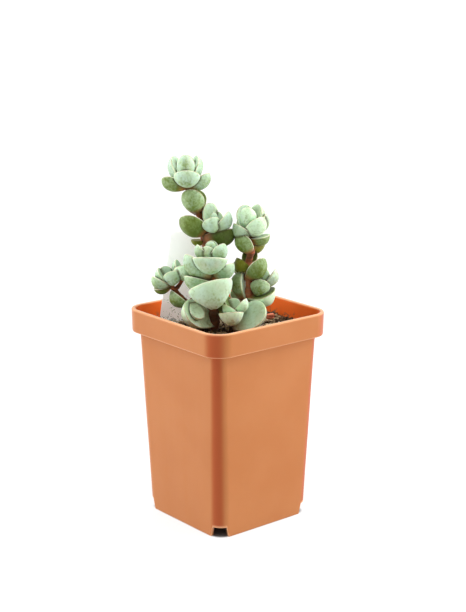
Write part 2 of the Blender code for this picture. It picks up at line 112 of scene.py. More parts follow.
def turnAbout(axis, angle):
    # right-handed rotation about a row axis
    c, s = math.cos(angle), math.sin(angle)
    if axis == "x":
        return np.array([[1, 0, 0], [0, c, -s], [0, s, c]])
    if axis == "y":
        return np.array([[c, 0, s], [0, 1, 0], [-s, 0, c]])
    return np.array([[c, -s, 0], [s, c, 0], [0, 0, 1]])


plantFrame = turnAbout("z", plantTurn)


class Waves:
    # smooth seeded unevenness: a sum of sine waves in random directions, about -1 to 1
    def __init__(self, seed, size, count=14):
        draw = np.random.default_rng(seed)
        aim = draw.normal(size=(count, 3))
        self.aim = aim / np.linalg.norm(aim, axis=1)[:, None]
        self.rate = 2 * math.pi / (size * draw.uniform(0.6, 1.7, count))
        self.phase = draw.uniform(0, 2 * math.pi, count)

    def at(self, points):
        across = np.asarray(points) @ (self.aim * self.rate[:, None]).T + self.phase
        return np.sin(across).sum(-1) / math.sqrt(len(self.rate) / 2) * 0.55


# materials

class Finish:
    # a node material with short ways to add the nodes that this scene needs
    def __init__(self, name, roughness, **sockets):
        self.material = bpy.data.materials.new(name)
        self.material.use_nodes = True
        self.nodes = self.material.node_tree.nodes
        self.links = self.material.node_tree.links
        self.shader = self.nodes["Principled BSDF"]
        self.shader.inputs["Roughness"].default_value = roughness
        for key, value in sockets.items():
            self.shader.inputs[key].default_value = value
        self.place = self.nodes.new("ShaderNodeTexCoord").outputs["Object"]

    def join(self, source, target):
        if hasattr(source, "default_value") or hasattr(source, "links"):
            self.links.new(source, target)
        elif isinstance(source, tuple) and len(source) == 3 and target.type == "RGBA":
            target.default_value = (*source, 1)
        else:
            target.default_value = source

    def noise(self, perMetre, detail=3.0, roughness=0.5, stretch=None, distortion=0.0):
        node = self.nodes.new("ShaderNodeTexNoise")
        node.inputs["Scale"].default_value = perMetre
        node.inputs["Detail"].default_value = detail
        node.inputs["Roughness"].default_value = roughness
        node.inputs["Distortion"].default_value = distortion
        place = self.place
        if stretch:
            mapping = self.nodes.new("ShaderNodeMapping")
            mapping.inputs["Scale"].default_value = stretch
            self.links.new(self.place, mapping.inputs["Vector"])
            place = mapping.outputs["Vector"]
        self.links.new(place, node.inputs["Vector"])
        return node.outputs["Fac"]

    def cells(self, perMetre, feature="F1"):
        node = self.nodes.new("ShaderNodeTexVoronoi")
        node.feature = feature
        node.inputs["Scale"].default_value = perMetre
        self.links.new(self.place, node.inputs["Vector"])
        return node.outputs["Distance"]

    def attribute(self, name):
        node = self.nodes.new("ShaderNodeAttribute")
        node.attribute_name = name
        return node.outputs["Fac"]

    def ramp(self, source, low, high, toLow=0.0, toHigh=1.0):
        node = self.nodes.new("ShaderNodeMapRange")
        node.interpolation_type = "SMOOTHSTEP"
        self.join(source, node.inputs["Value"])
        for key, value in (("From Min", low), ("From Max", high), ("To Min", toLow), ("To Max", toHigh)):
            node.inputs[key].default_value = value
        return node.outputs["Result"]

    def sum(self, operation, first, second):
        node = self.nodes.new("ShaderNodeMath")
        node.operation = operation
        self.join(first, node.inputs[0])
        self.join(second, node.inputs[1])
        return node.outputs["Value"]

    def mix(self, amount, first, second, blend="MIX"):
        node = self.nodes.new("ShaderNodeMix")
        node.data_type = "RGBA"
        node.blend_type = blend
        self.join(amount, node.inputs[0])
        self.join(first, node.inputs[6])
        self.join(second, node.inputs[7])
        return node.outputs[2]

    def bump(self, height, depth, strength=1.0, under=None):
        # depth in metres for a height of 0 to 1
        node = self.nodes.new("ShaderNodeBump")
        node.inputs["Distance"].default_value = depth
        node.inputs["Strength"].default_value = strength
        self.join(height, node.inputs["Height"])
        if under:
            self.links.new(under, node.inputs["Normal"])
        self.links.new(node.outputs["Normal"], self.shader.inputs["Normal"])
        return node.outputs["Normal"]

    def colour(self, source):
        self.join(source, self.shader.inputs["Base Color"])

    def roughness(self, source):
        self.join(source, self.shader.inputs["Roughness"])


# pot: one moulded skin, a profile carried round a rounded square

pot = {
    "height": 100.5,
    "rimWidth": 70.0,
    "rimRadius": 9.5,
    "collarHeight": 11.2,
    "collarTaper": 0.55,
    "collarRadius": 9.1,
    "bodyTopWidth": 62.2,
    "bodyBaseWidth": 55.7,
    "bodyTopRadius": 5.8,
    "bodyBaseRadius": 6.6,
    "lipWall": 1.9,
    "wall": 1.5,
    "floorTop": 7.2,
    "floorThickness": 1.6,
    "notchHeight": 5.0,
    "notchFoot": 0.90,    # how far from the corner's middle the notch starts: 1 is the end of the arc
    "notchTop": 0.70,
    "drainRadius": 3.0,
    "drainSpacing": 13.0,
    "plastic": (0.465, 0.166, 0.052),
    "plasticPale": (0.490, 0.184, 0.062),
    "plasticDeep": (0.430, 0.138, 0.036),
    # a deeper red for the painted shade down each outer corner
    "plasticCornerShade": (0.400, 0.072, 0.018),
    # a brighter, redder copy of the plastic for the inside wall: painted light
    "plasticInnerLit": (0.830, 0.142, 0.014),
    # pale peach for the painted highlight on the lip, the collar's edge and the notch edges
    "plasticHighlight": (0.860, 0.460, 0.240),
}


def cornerShares():
    # places round one corner: -2 and 2 are the middles of its sides, and -1 to 1 is its arc
    arc = np.linspace(-1, 1, 19)
    side = np.array([1.01, 1.04, 1.1, 1.2, 1.4, 1.7])
    notch = np.array([pot["notchFoot"], pot["notchFoot"] - 0.01, pot["notchTop"], pot["notchTop"] - 0.01])
    right = np.unique(np.round(np.concatenate([arc[arc >= 0], notch, side]), 4))
    return np.concatenate([[-2], -right[::-1], right[1:]]) if right[0] == 0 else np.concatenate([-right[::-1], right])


def squareRing(shares, width, radius):
    # a rounded square in plan: on the arc the point turns about the corner's centre, past it it slides
    # along the side towards the middle
    width, radius = np.asarray(width, float), np.asarray(radius, float)
    reach = width / 2 - radius
    angle = np.clip(shares, -1, 1) * math.pi / 4
    slide = (np.abs(shares) - np.clip(np.abs(shares), 0, 1)) * reach * np.sign(shares)
    x = reach + radius * np.cos(angle + math.pi / 4) - np.where(slide > 0, slide, 0)
    y = reach + radius * np.sin(angle + math.pi / 4) + np.where(slide < 0, slide, 0)
    rings = []
    for corner in range(4):
        c, s = [(1, 0), (0, 1), (-1, 0), (0, -1)][corner]
        rings.append(np.stack([c * x - s * y, s * x + c * y], -1))
    return np.concatenate(rings)


def bodyWidth(z):
    return pot["bodyBaseWidth"] + (pot["bodyTopWidth"] - pot["bodyBaseWidth"]) * z / (pot["height"] - pot["collarHeight"])


def bodyRadius(z):
    share = z / (pot["height"] - pot["collarHeight"])
    return pot["bodyBaseRadius"] + (pot["bodyTopRadius"] - pot["bodyBaseRadius"]) * share


def potProfile():
    # (kind, width change, z): body rows follow the tapered wall, the others give their own width and radius
    step = pot["height"] - pot["collarHeight"]
    wall, lip = pot["wall"], pot["lipWall"]
    rows = []
    under = pot["floorTop"] - pot["floorThickness"]
    for z in (under, under * 0.6, under * 0.3, 0.25):
        rows.append(("body", -2 * wall, z))
    rows += [("body", -2 * wall + 0.35, 0.0), ("body", -0.35, 0.0), ("body", -0.1, 0.1), ("body", 0.0, 0.4)]
    for z in (1.5, 3, 6, 10, 16, 24, 34, 46, 58, 70, 80, 86, step - 1.1, step - 0.6):
        rows.append(("body", 0.0, z))
    rows += [("body", 0.12, step - 0.28), ("body", 0.5, step - 0.06), ("body", 1.0, step)]
    low, top = pot["rimWidth"] - pot["collarTaper"], pot["rimWidth"]
    for shrink, z in ((1.1, step), (0.45, step + 0.1), (0.1, step + 0.35), (0.0, step + 0.8)):
        rows.append(("rim", low - shrink, z))
    for share in (0.25, 0.5, 0.75, 0.9):
        rows.append(("rim", low + (top - low) * share, step + pot["collarHeight"] * share))
    for turn in (0, 22, 45, 68, 90):
        angle = math.radians(turn)
        rows.append(("rim", top - 1.3 * (1 - math.cos(angle)), pot["height"] - 0.65 * (1 - math.sin(angle))))
    for turn in (90, 68, 45, 22, 0):
        angle = math.radians(turn)
        rows.append(("rim", top - 2 * lip + 1.2 * (1 - math.cos(angle)), pot["height"] - 0.6 * (1 - math.sin(angle))))
    for z in (98, 95, 92.5, step + 1.7):
        rows.append(("rim", top - 2 * lip - 0.35 * (100 - z) / 10, z))
    rows += [("rim", low - 2 * wall - 1.0, step + 1.25), ("body", -2 * wall + 1.0, step + 1.2)]
    rows += [("body", -2 * wall, z) for z in (step + 0.6, 60, 30, pot["floorTop"] + 0.8)]
    rows.append(("body", -2 * wall - 1.6, pot["floorTop"]))
    return rows


def makePot():
    shares = cornerShares()
    lift = pot["notchHeight"] * np.clip((pot["notchFoot"] - np.abs(shares)) / (pot["notchFoot"] - pot["notchTop"]), 0, 1)
    lift = np.tile(lift, 4)
    base = squareRing(shares, 57.0, 5.2)
    rings = []
    top = pot["height"] - pot["collarHeight"]
    for kind, change, z in potProfile():
        if kind == "body":
            # below the collar the foot line climbs over each notch, and the rows above it close up
            heights = lift + (z / top) * (top - lift) if z < 80 else np.full(len(base), float(z))
            if z == pot["floorTop"] - pot["floorThickness"] and not rings:
                heights = np.full(len(base), float(z))
            width = bodyWidth(heights) + change
            radius = np.maximum(bodyRadius(heights) + change / 2, 1.0)
            flat = np.concatenate([
                squareRing(shares, width[k * len(shares):(k + 1) * len(shares)], radius[k * len(shares):(k + 1) * len(shares)])
                [k * len(shares):(k + 1) * len(shares)] for k in range(4)])
        else:
            heights = np.full(len(base), float(z))
            flat = squareRing(shares, change, pot["rimRadius"] - (pot["rimWidth"] - change) / 2)
        rings.append(np.concatenate([flat, heights[:, None]], 1))
    rings = np.array(rings)
    bow = Waves(3, 60)
    rings[:, :, :2] *= 1 + 0.0012 * (bow.at(rings)[..., None] - 1) * (rings[:, :, 2:] < 88)
    points, quads, triangles = closedTube(rings)
    lipRow = next(k for k, row in enumerate(potProfile()) if row[0] == "rim" and row[2] >= pot["height"] - 1e-6)
    inner = np.repeat((np.arange(len(rings)) > lipRow + 3) * 1.0, len(base))
    profile = potProfile()
    # painted highlight: a pale band along the lip, round the collar's lower edge and on the foot beside each notch
    near = [max(math.exp(-((row[2] - pot["height"]) / 0.5) ** 2) * (row[0] == "rim"),
                math.exp(-((row[2] - top) / 0.35) ** 2) * (row[0] == "rim")) for row in profile]
    edges = np.repeat(np.array(near) * (np.arange(len(rings)) <= lipRow + 4), len(base))
    foot = np.array([row[0] == "body" and row[2] <= 0.4 and row[1] > -0.5 for row in profile])
    edges = np.maximum(edges, np.outer(foot, np.tile(np.abs(shares) < pot["notchFoot"] + 0.06, 4)).ravel())
    # painted shade: a deeper red strip down each outer corner of the wall
    corner = np.tile(np.tile(np.exp(-((shares + 0.17) / 0.58) ** 4), 4), len(rings)) * (1 - inner)
    shell = makeMesh("potShell", points, quads, triangles, {
        "potInner": np.concatenate([inner, [0, 1]]), "potHighlight": np.concatenate([edges, [0, 0]]),
        "potCornerShade": np.concatenate([corner, [0, 0]])})
    drill(shell)
    shell.data.materials.append(plasticFinish())
    return shell


def drill(shell):
    # round drain holes through the raised floor, cut and applied
    holes = bpy.data.collections.new("drainCutters")
    bpy.context.scene.collection.children.link(holes)
    angle = np.linspace(0, 2 * math.pi, 32, endpoint=False)
    middle = pot["floorTop"] - pot["floorThickness"] / 2
    for x in (-1, 0, 1):
        for y in (-1, 0, 1):
            rings = np.array([np.stack([
                x * pot["drainSpacing"] + pot["drainRadius"] * np.cos(angle),
                y * pot["drainSpacing"] + pot["drainRadius"] * np.sin(angle),
                np.full(32, z)], -1) for z in (middle - 4, middle + 4)])
            points, quads, triangles = closedTube(rings)
            cutter = makeMesh("drainCutter", points, quads, triangles, smooth=False)
            bpy.context.scene.collection.objects.unlink(cutter)
            holes.objects.link(cutter)
    cut = shell.modifiers.new("Drains", "BOOLEAN")
    cut.operand_type = "COLLECTION"
    cut.collection = holes
    cut.solver = "EXACT"
    bpy.context.view_layer.update()
    made = bpy.data.meshes.new_from_object(shell.evaluated_get(bpy.context.evaluated_depsgraph_get()))
    shell.modifiers.remove(cut)
    shell.data = made
    for cutter in list(holes.objects):
        bpy.data.objects.remove(cutter)
    bpy.data.collections.remove(holes)


def plasticFinish():
    finish = Finish("terracotta plastic", 0.42)
    finish.shader.inputs["Specular IOR Level"].default_value = 0.15
    finish.shader.inputs["Sheen Weight"].default_value = 0.45
    finish.shader.inputs["Sheen Roughness"].default_value = 0.3
    finish.shader.inputs["Subsurface Weight"].default_value = 0.08
    finish.shader.inputs["Subsurface Radius"].default_value = (1.0, 0.35, 0.12)
    finish.shader.inputs["Subsurface Scale"].default_value = 0.002
    clouds = finish.noise(38, detail=4)
    flow = finish.noise(22, detail=5, stretch=(1, 1, 0.18), distortion=0.6)
    shade = finish.mix(finish.ramp(clouds, 0.3, 0.7), pot["plastic"], pot["plasticPale"])
    shade = finish.mix(finish.ramp(flow, 0.52, 0.75, 0.0, 0.35), shade, pot["plasticDeep"])
    # painted shade: the outer corners are mixed towards a deeper red
    shade = finish.mix(finish.sum("MULTIPLY", finish.attribute("potCornerShade"), 0.85), shade, pot["plasticCornerShade"])
    # painted light: the inside wall is a brighter, redder copy of the outside plastic
    shade = finish.mix(finish.attribute("potInner"), shade, pot["plasticInnerLit"])
    # soil clings to the inside just above the bed
    height = finish.nodes.new("ShaderNodeSeparateXYZ")
    finish.links.new(finish.place, height.inputs["Vector"])
    clinging = finish.sum("MULTIPLY", finish.ramp(height.outputs["Z"], 0.0925, 0.0965, 0.7, 0.0),
                          finish.ramp(finish.noise(520, detail=4), 0.52, 0.62))
    shade = finish.mix(finish.sum("MULTIPLY", clinging, finish.attribute("potInner")), shade, soil["peatLight"])
    # painted highlight: those edge rows are mixed towards pale peach
    finish.colour(finish.mix(finish.sum("MULTIPLY", finish.attribute("potHighlight"), 0.7), shade, pot["plasticHighlight"]))
    scratches = finish.noise(260, detail=2, stretch=(1, 1, 0.06))
    finish.roughness(finish.sum("ADD", finish.ramp(scratches, 0.3, 0.75, 0.0, 0.12), finish.ramp(clouds, 0.2, 0.8, 0.34, 0.44)))
    grain = finish.noise(1900, detail=2)
    ripple = finish.noise(60, detail=2)
    under = finish.bump(ripple, 0.0004, 0.35)
    finish.bump(grain, 0.00004, 0.5, under)
    return finish.material


# soil: peat with crumbs, fibres and splinters

soil = {
    "top": 91.4,
    "rise": 0.9,          # how much it climbs at the wall
    "rough": 0.75,        # height of the crumbly unevenness
    "grid": 150,
    "gap": 0.2,
    "crumbs": 1400,
    "crumbRadius": (0.35, 1.6),
    "fibres": 210,
    "seed": 21,
    "peat": (0.042, 0.023, 0.012),
    "peatLight": (0.200, 0.115, 0.055),
    "peatRed": (0.150, 0.052, 0.024),
    "crumbPale": (0.580, 0.430, 0.250),
    "straw": (0.84, 0.66, 0.42),
}


def soilHeight(x, y):
    # the same slow bumps as the solid: three crossed waves that die out at the wall, where it rises
    inner = bodyWidth(soil["top"]) / 2 - pot["wall"]
    edge = np.minimum(1, np.maximum(np.abs(x), np.abs(y)) / inner)
    waves = np.sin(0.31 * x + 0.8) * np.cos(0.27 * y) + 0.5 * np.sin(0.55 * x - 0.47 * y + 1.9)
    return soil["top"] + 0.45 * waves * (1 - edge ** 4) + soil["rise"] * edge ** 6


def makeSoil():
    # the top is a disc of rings shrunk from the pot's inner outline, and its skirt drops inside the wall
    shares = cornerShares()
    step = pot["height"] - pot["collarHeight"]
    width = pot["rimWidth"] - pot["collarTaper"] - 2 * pot["wall"] - 2 * soil["gap"] - 0.3
    edge = squareRing(shares, width, pot["rimRadius"] - pot["wall"] - 0.4)
    edge = np.concatenate([resample(edge, 420)])
    shrink = 1 - np.linspace(0, 1, soil["grid"] + 1)[:-1] ** 1.0
    flat = edge[None] * shrink[:, None, None]
    lumps, grit, fine = Waves(5, 7.0), Waves(6, 2.6, 30), Waves(7, 1.1, 40)
    spots = np.concatenate([flat, np.zeros(flat.shape[:2] + (1,))], -1)
    rough = 0.45 * lumps.at(spots) + 0.35 * grit.at(spots) + 0.22 * fine.at(spots)
    fade = np.clip((1 - np.abs(shrink - 0.5) * 2) * 8, 0.25, 1)[:, None]
    height = soilHeight(flat[..., 0], flat[..., 1]) + soil["rough"] * rough * fade - 0.25
    top = np.concatenate([flat, height[..., None]], -1)
    inset = 2 * pot["wall"] + 2 * soil["gap"]
    skirt = []
    for z, w, r in ((pot["floorTop"] + 0.3, bodyWidth(7.5) - inset, 4.0), (step + 0.4, bodyWidth(step) - inset, 4.2),
                    (step + 1.5, bodyWidth(step) - inset, 4.2), (step + 1.5, width, 7.6)):
        ring = resample(squareRing(shares, w, r), 420)
        skirt.append(np.concatenate([ring, np.full((420, 1), z)], 1))
    rings = np.concatenate([np.array(skirt), top])
    points, quads, triangles = closedTube(rings)
    bed = makeMesh("soilBed", points, quads, triangles)
    bed.data.materials.append(peatFinish("peat", False))
    return bed


def resample(loop, count):
    # a closed outline walked in equal steps
    closed = np.concatenate([loop, loop[:1]])
    travelled = np.concatenate([[0], np.cumsum(np.linalg.norm(np.diff(closed, axis=0), axis=1))])
    stops = np.linspace(0, travelled[-1], count, endpoint=False)
    return np.stack([np.interp(stops, travelled, closed[:, k]) for k in range(closed.shape[1])], -1)


def peatFinish(name, crumbs):
    finish = Finish(name, 0.92)
    finish.shader.inputs["Specular IOR Level"].default_value = 0.25
    clumps = finish.noise(420, detail=6, roughness=0.65)
    specks = finish.noise(1500, detail=3)
    shade = finish.mix(finish.ramp(clumps, 0.42, 0.72), soil["peat"], soil["peatLight"])
    shade = finish.mix(finish.ramp(specks, 0.60, 0.72, 0.0, 0.8), shade, soil["peatRed"])
    if crumbs:
        shade = finish.mix(finish.ramp(finish.attribute("crumbTint"), 0.45, 0.9, 0.0, 0.9), shade, soil["crumbPale"])
    finish.colour(shade)
    finish.bump(clumps, 0.0008, 0.9, finish.bump(specks, 0.0003, 0.8))
    return finish.material


def icoShape():
    # a 42-point ball: an icosahedron with its edges halved
    golden = (1 + math.sqrt(5)) / 2
    corners = np.array([(-1, golden, 0), (1, golden, 0), (-1, -golden, 0), (1, -golden, 0), (0, -1, golden), (0, 1, golden),
                        (0, -1, -golden), (0, 1, -golden), (golden, 0, -1), (golden, 0, 1), (-golden, 0, -1), (-golden, 0, 1)])
    faces = np.array([(0, 11, 5), (0, 5, 1), (0, 1, 7), (0, 7, 10), (0, 10, 11), (1, 5, 9), (5, 11, 4), (11, 10, 2), (10, 7, 6),
                      (7, 1, 8), (3, 9, 4), (3, 4, 2), (3, 2, 6), (3, 6, 8), (3, 8, 9), (4, 9, 5), (2, 4, 11), (6, 2, 10),
                      (8, 6, 7), (9, 8, 1)])
    edges = np.sort(np.concatenate([faces[:, [0, 1]], faces[:, [1, 2]], faces[:, [2, 0]]]), 1)
    unique, index = np.unique(edges, axis=0, return_inverse=True)
    index = index.reshape(3, -1).T + len(corners)
    points = np.concatenate([corners, corners[unique].mean(1)])
    points /= np.linalg.norm(points, axis=1)[:, None]
    a, b, c = faces.T
    ab, bc, ca = index.T
    return points, np.concatenate([np.stack(t, -1) for t in ((a, ab, ca), (b, bc, ab), (c, ca, bc), (ab, bc, ca))])


def stemFeet():
    return [route[1] for shoot in shoots.values() for route in [shoot["stems"][0]["route"]]]


def makeCrumbs():
    # lumps of peat sunk into the top: a ball stretched and dented by waves, copied by arrays
    draw = np.random.default_rng(soil["seed"])
    ball, faces = icoShape()
    count = soil["crumbs"]
    reach = (pot["rimWidth"] - pot["collarTaper"]) / 2 - pot["wall"] - 1.6
    places = draw.uniform(-reach, reach, (count, 2))
    corner = np.maximum(np.abs(places) - (reach - 7), 0)
    places = places[(np.linalg.norm(corner, axis=1) < 6.5)]
    feet = np.array([(plantFrame @ np.array(foot))[:2] for foot in stemFeet()])
    clear = np.linalg.norm(places[:, None] - feet[None], axis=2).min(1) > 3.0
    places = places[clear]
    count = len(places)
    radius = soil["crumbRadius"][0] + (soil["crumbRadius"][1] - soil["crumbRadius"][0]) * draw.random(count) ** 2.6
    stretch = draw.uniform(0.6, 1.25, (count, 1, 3)) * radius[:, None, None]
    dents = 1 + 0.22 * draw.normal(size=(count, len(ball), 1))
    shapes = ball[None] * dents * stretch
    spin = draw.uniform(0, 2 * math.pi, count)
    c, s = np.cos(spin)[:, None], np.sin(spin)[:, None]
    x, y, z = shapes[..., 0], shapes[..., 1], shapes[..., 2]
    height = soilHeight(places[:, 0], places[:, 1]) + 0.25 * radius
    points = np.stack([c * x - s * y + places[:, :1], s * x + c * y + places[:, 1:], z + height[:, None]], -1)
    triangles = (faces[None] + (np.arange(count) * len(ball))[:, None, None]).reshape(-1, 3)
    tint = np.repeat(draw.random(count), len(ball))
    lumps = makeMesh("soilCrumbs", points.reshape(-1, 3), (), triangles, {"crumbTint": tint})
    lumps.data.materials.append(peatFinish("peat crumbs", True))
    return lumps


def makeFibres():
    # thin dry straws lying on the peat: short bent routes with a small round section
    draw = random.Random(soil["seed"])
    reach = (pot["rimWidth"] - pot["collarTaper"]) / 2 - pot["wall"] - 6.5
    parts = []
    while len(parts) < soil["fibres"]:
        x, y = draw.uniform(-reach, reach), draw.uniform(-reach, reach)
        if any(np.hypot(*((plantFrame @ np.array(foot))[:2] - (x, y))) < 5 for foot in stemFeet()):
            continue
        length, turn, bend = draw.uniform(2.5, 8), draw.uniform(0, math.pi), draw.uniform(-0.5, 0.5)
        along = np.linspace(-0.5, 0.5, 9)
        route = np.stack([x + length * along * math.cos(turn + bend * 0.5), y + length * along * math.sin(turn),
                          np.zeros(9)], -1)
        route[:, 0] += bend * 2 * (along ** 2) * length * 0.5
        route[:, 2] = soilHeight(route[:, 0], route[:, 1]) + 0.35 + draw.uniform(0, 0.5)
        radius = draw.uniform(0.15, 0.38) * (1 - 0.5 * np.abs(along))
        parts.append(closedTube(carry(route, radius, 6)))
    straws = makeMesh("strawFibres", *merge(parts))
    finish = Finish("dry straw", 0.7)
    shade = finish.mix(finish.noise(700), soil["straw"], tuple(0.45 * v for v in soil["straw"]))
    finish.colour(shade)
    finish.bump(finish.noise(2500, stretch=(1, 1, 0.3)), 0.0001, 0.6)
    straws.data.materials.append(finish.material)
    return straws


def merge(parts):
    # several (points, quads, triangles) as one
    points, quads, triangles, start = [], [], [], 0
    for p, q, t in parts:
        points.append(p)
        quads.append(q + start)
        triangles.append(t + start)
        start += len(p)
    return np.concatenate(points), np.concatenate(quads), np.concatenate(triangles)


def carry(route, radius, sides, phase=0.0):
    # a round section carried along a route: at each point two directions square to the route span the ring
    ahead = np.gradient(route, axis=0)
    ahead /= np.linalg.norm(ahead, axis=1)[:, None]
    side = np.cross(np.tile([0.2, 1.0, 0.1], (len(route), 1)), ahead)
    side /= np.linalg.norm(side, axis=1)[:, None]
    other = np.cross(ahead, side)
    angle = np.linspace(0, 2 * math.pi, sides, endpoint=False) + phase
    radius = np.broadcast_to(np.asarray(radius, float).reshape(len(route), -1), (len(route), sides))
    return (route[:, None] + radius[..., None] * (np.cos(angle)[None, :, None] * side[:, None]
                                                  + np.sin(angle)[None, :, None] * other[:, None]))


# bark chip

chip = {
    "centre": (20.0, 12.4),
    "size": (5.2, 3.4, 2.5),
    "light": (0.72, 0.205, 0.105),
    "dark": (0.34, 0.090, 0.045),
}


def makeChip():
    # an uneven splinter: a ball squared off towards its box and roughened by waves
    ball, faces = icoShape()
    for _ in range(2):
        ball, faces = halved(ball, faces)
    boxed = np.sign(ball) * np.abs(ball) ** 0.55
    rough = Waves(31, 0.6)
    points = boxed * (1 + 0.07 * rough.at(ball))[:, None] * np.array(chip["size"]) / 2
    points[:, 2] += 0.16 * points[:, 0]
    points = (plantFrame @ turnAbout("z", 0.15) @ points.T).T
    centre = plantFrame @ np.array([*chip["centre"], 0])
    lift = float(soilHeight(centre[0], centre[1])) + 0.5 + chip["size"][2] / 2
    made = makeMesh("barkChip", points + centre + np.array([0, 0, lift]), (), faces)
    finish = Finish("dry bark", 0.85)
    layers = finish.noise(900, detail=5, stretch=(0.3, 0.3, 1.6))
    finish.colour(finish.mix(finish.ramp(layers, 0.35, 0.65), chip["dark"], chip["light"]))
    finish.bump(layers, 0.0005, 0.9)
    made.data.materials.append(finish.material)
    return made


def halved(points, faces):
    # every triangle split in four, its new corners on the unit ball
    edges = np.sort(np.concatenate([faces[:, [0, 1]], faces[:, [1, 2]], faces[:, [2, 0]]]), 1)
    unique, index = np.unique(edges, axis=0, return_inverse=True)
    index = index.reshape(3, -1).T + len(points)
    points = np.concatenate([points, points[unique].mean(1)])
    points = points / np.linalg.norm(points, axis=1)[:, None]
    a, b, c = faces.T
    ab, bc, ca = index.T
    return points, np.concatenate([np.stack(t, -1) for t in ((a, ab, ca), (b, bc, ab), (c, ca, bc), (ab, bc, ca))])


# label: a thin bare tag leaning behind the stems

label = {
    "width": 19.0,
    "thickness": 0.7,
    "top": 135.8,
    "foot": 58.0,
    "point": 30.0,
    "centre": (-16.9, 9.2),
    "lean": math.radians(8.0),
    "corner": 2.0,
    "bow": 0.25,
    "sheet": (0.93, 0.95, 0.92),
    "dirt": (0.045, 0.038, 0.018),
}


def makeLabel():
    # rows from foot to top: the half width grows over the point, holds, and rounds off at the top corners
    rows = np.concatenate([np.linspace(0, 0.38, 16), np.linspace(0.4, 0.97, 40), np.linspace(0.974, 1, 9)])
    z = label["foot"] + (label["top"] - label["foot"]) * rows
    half = np.full(len(z), label["width"] / 2)
    fromFoot = (z - label["foot"]) / label["point"]
    half = np.where(fromFoot < 1, np.maximum(1.2, label["width"] / 2 * np.clip(fromFoot, 0, 1)), half)
    drop = label["top"] - z
    corner = label["corner"]
    cut = np.clip(corner - drop, 0, corner)
    half = half - (corner - np.sqrt(np.maximum(corner ** 2 - cut ** 2, 0)))
    across = np.linspace(-1, 1, 25)
    section = np.concatenate([np.stack([across, -np.ones(25)], -1), np.stack([across[::-1], np.ones(25)], -1)])
    rings = np.zeros((len(z), len(section), 3))
    rings[..., 0] = half[:, None] * section[None, :, 0]
    rings[..., 1] = label["thickness"] / 2 * section[None, :, 1] + label["bow"] * (1 - section[None, :, 0] ** 2)
    rings[..., 2] = z[:, None]
    rings[..., 0] += label["centre"][0] - math.tan(label["lean"]) * (label["top"] - rings[..., 2])
    rings[..., 1] += label["centre"][1] - label["bow"] / 2
    points, quads, triangles = closedTube(rings @ plantFrame.T)
    tag = makeMesh("plantLabel", points, quads, triangles, smooth=False)
    finish = Finish("label plastic", 0.4)
    finish.shader.inputs["Transmission Weight"].default_value = 0.0
    finish.shader.inputs["Subsurface Weight"].default_value = 0.5
    finish.shader.inputs["Subsurface Radius"].default_value = (1.0, 1.0, 0.95)
    finish.shader.inputs["Subsurface Scale"].default_value = 0.004
    finish.shader.inputs["Emission Color"].default_value = (0.95, 1.0, 0.94, 1)
    finish.shader.inputs["Emission Strength"].default_value = 0.16    # daylight through the thin sheet
    separate = finish.nodes.new("ShaderNodeSeparateXYZ")
    finish.links.new(finish.place, separate.inputs["Vector"])
    nearSoil = finish.ramp(separate.outputs["Z"], 0.0935, 0.112, 1.0, 0.0)
    specks = finish.ramp(finish.noise(620, detail=3, distortion=1.2), 0.57, 0.63)
    film = finish.ramp(finish.noise(160, detail=3), 0.4, 0.7, 0.0, 0.10)
    amount = finish.sum("MULTIPLY", nearSoil, finish.sum("MAXIMUM", specks, film))
    clean = finish.mix(finish.noise(70), label["sheet"], tuple(0.95 * v for v in label["sheet"]))
    finish.colour(finish.mix(amount, clean, label["dirt"]))
    finish.roughness(finish.ramp(finish.noise(300), 0.3, 0.7, 0.35, 0.5))
    finish.bump(finish.noise(1200), 0.00005, 0.4)
    tag.data.materials.append(finish.material)
    return tag
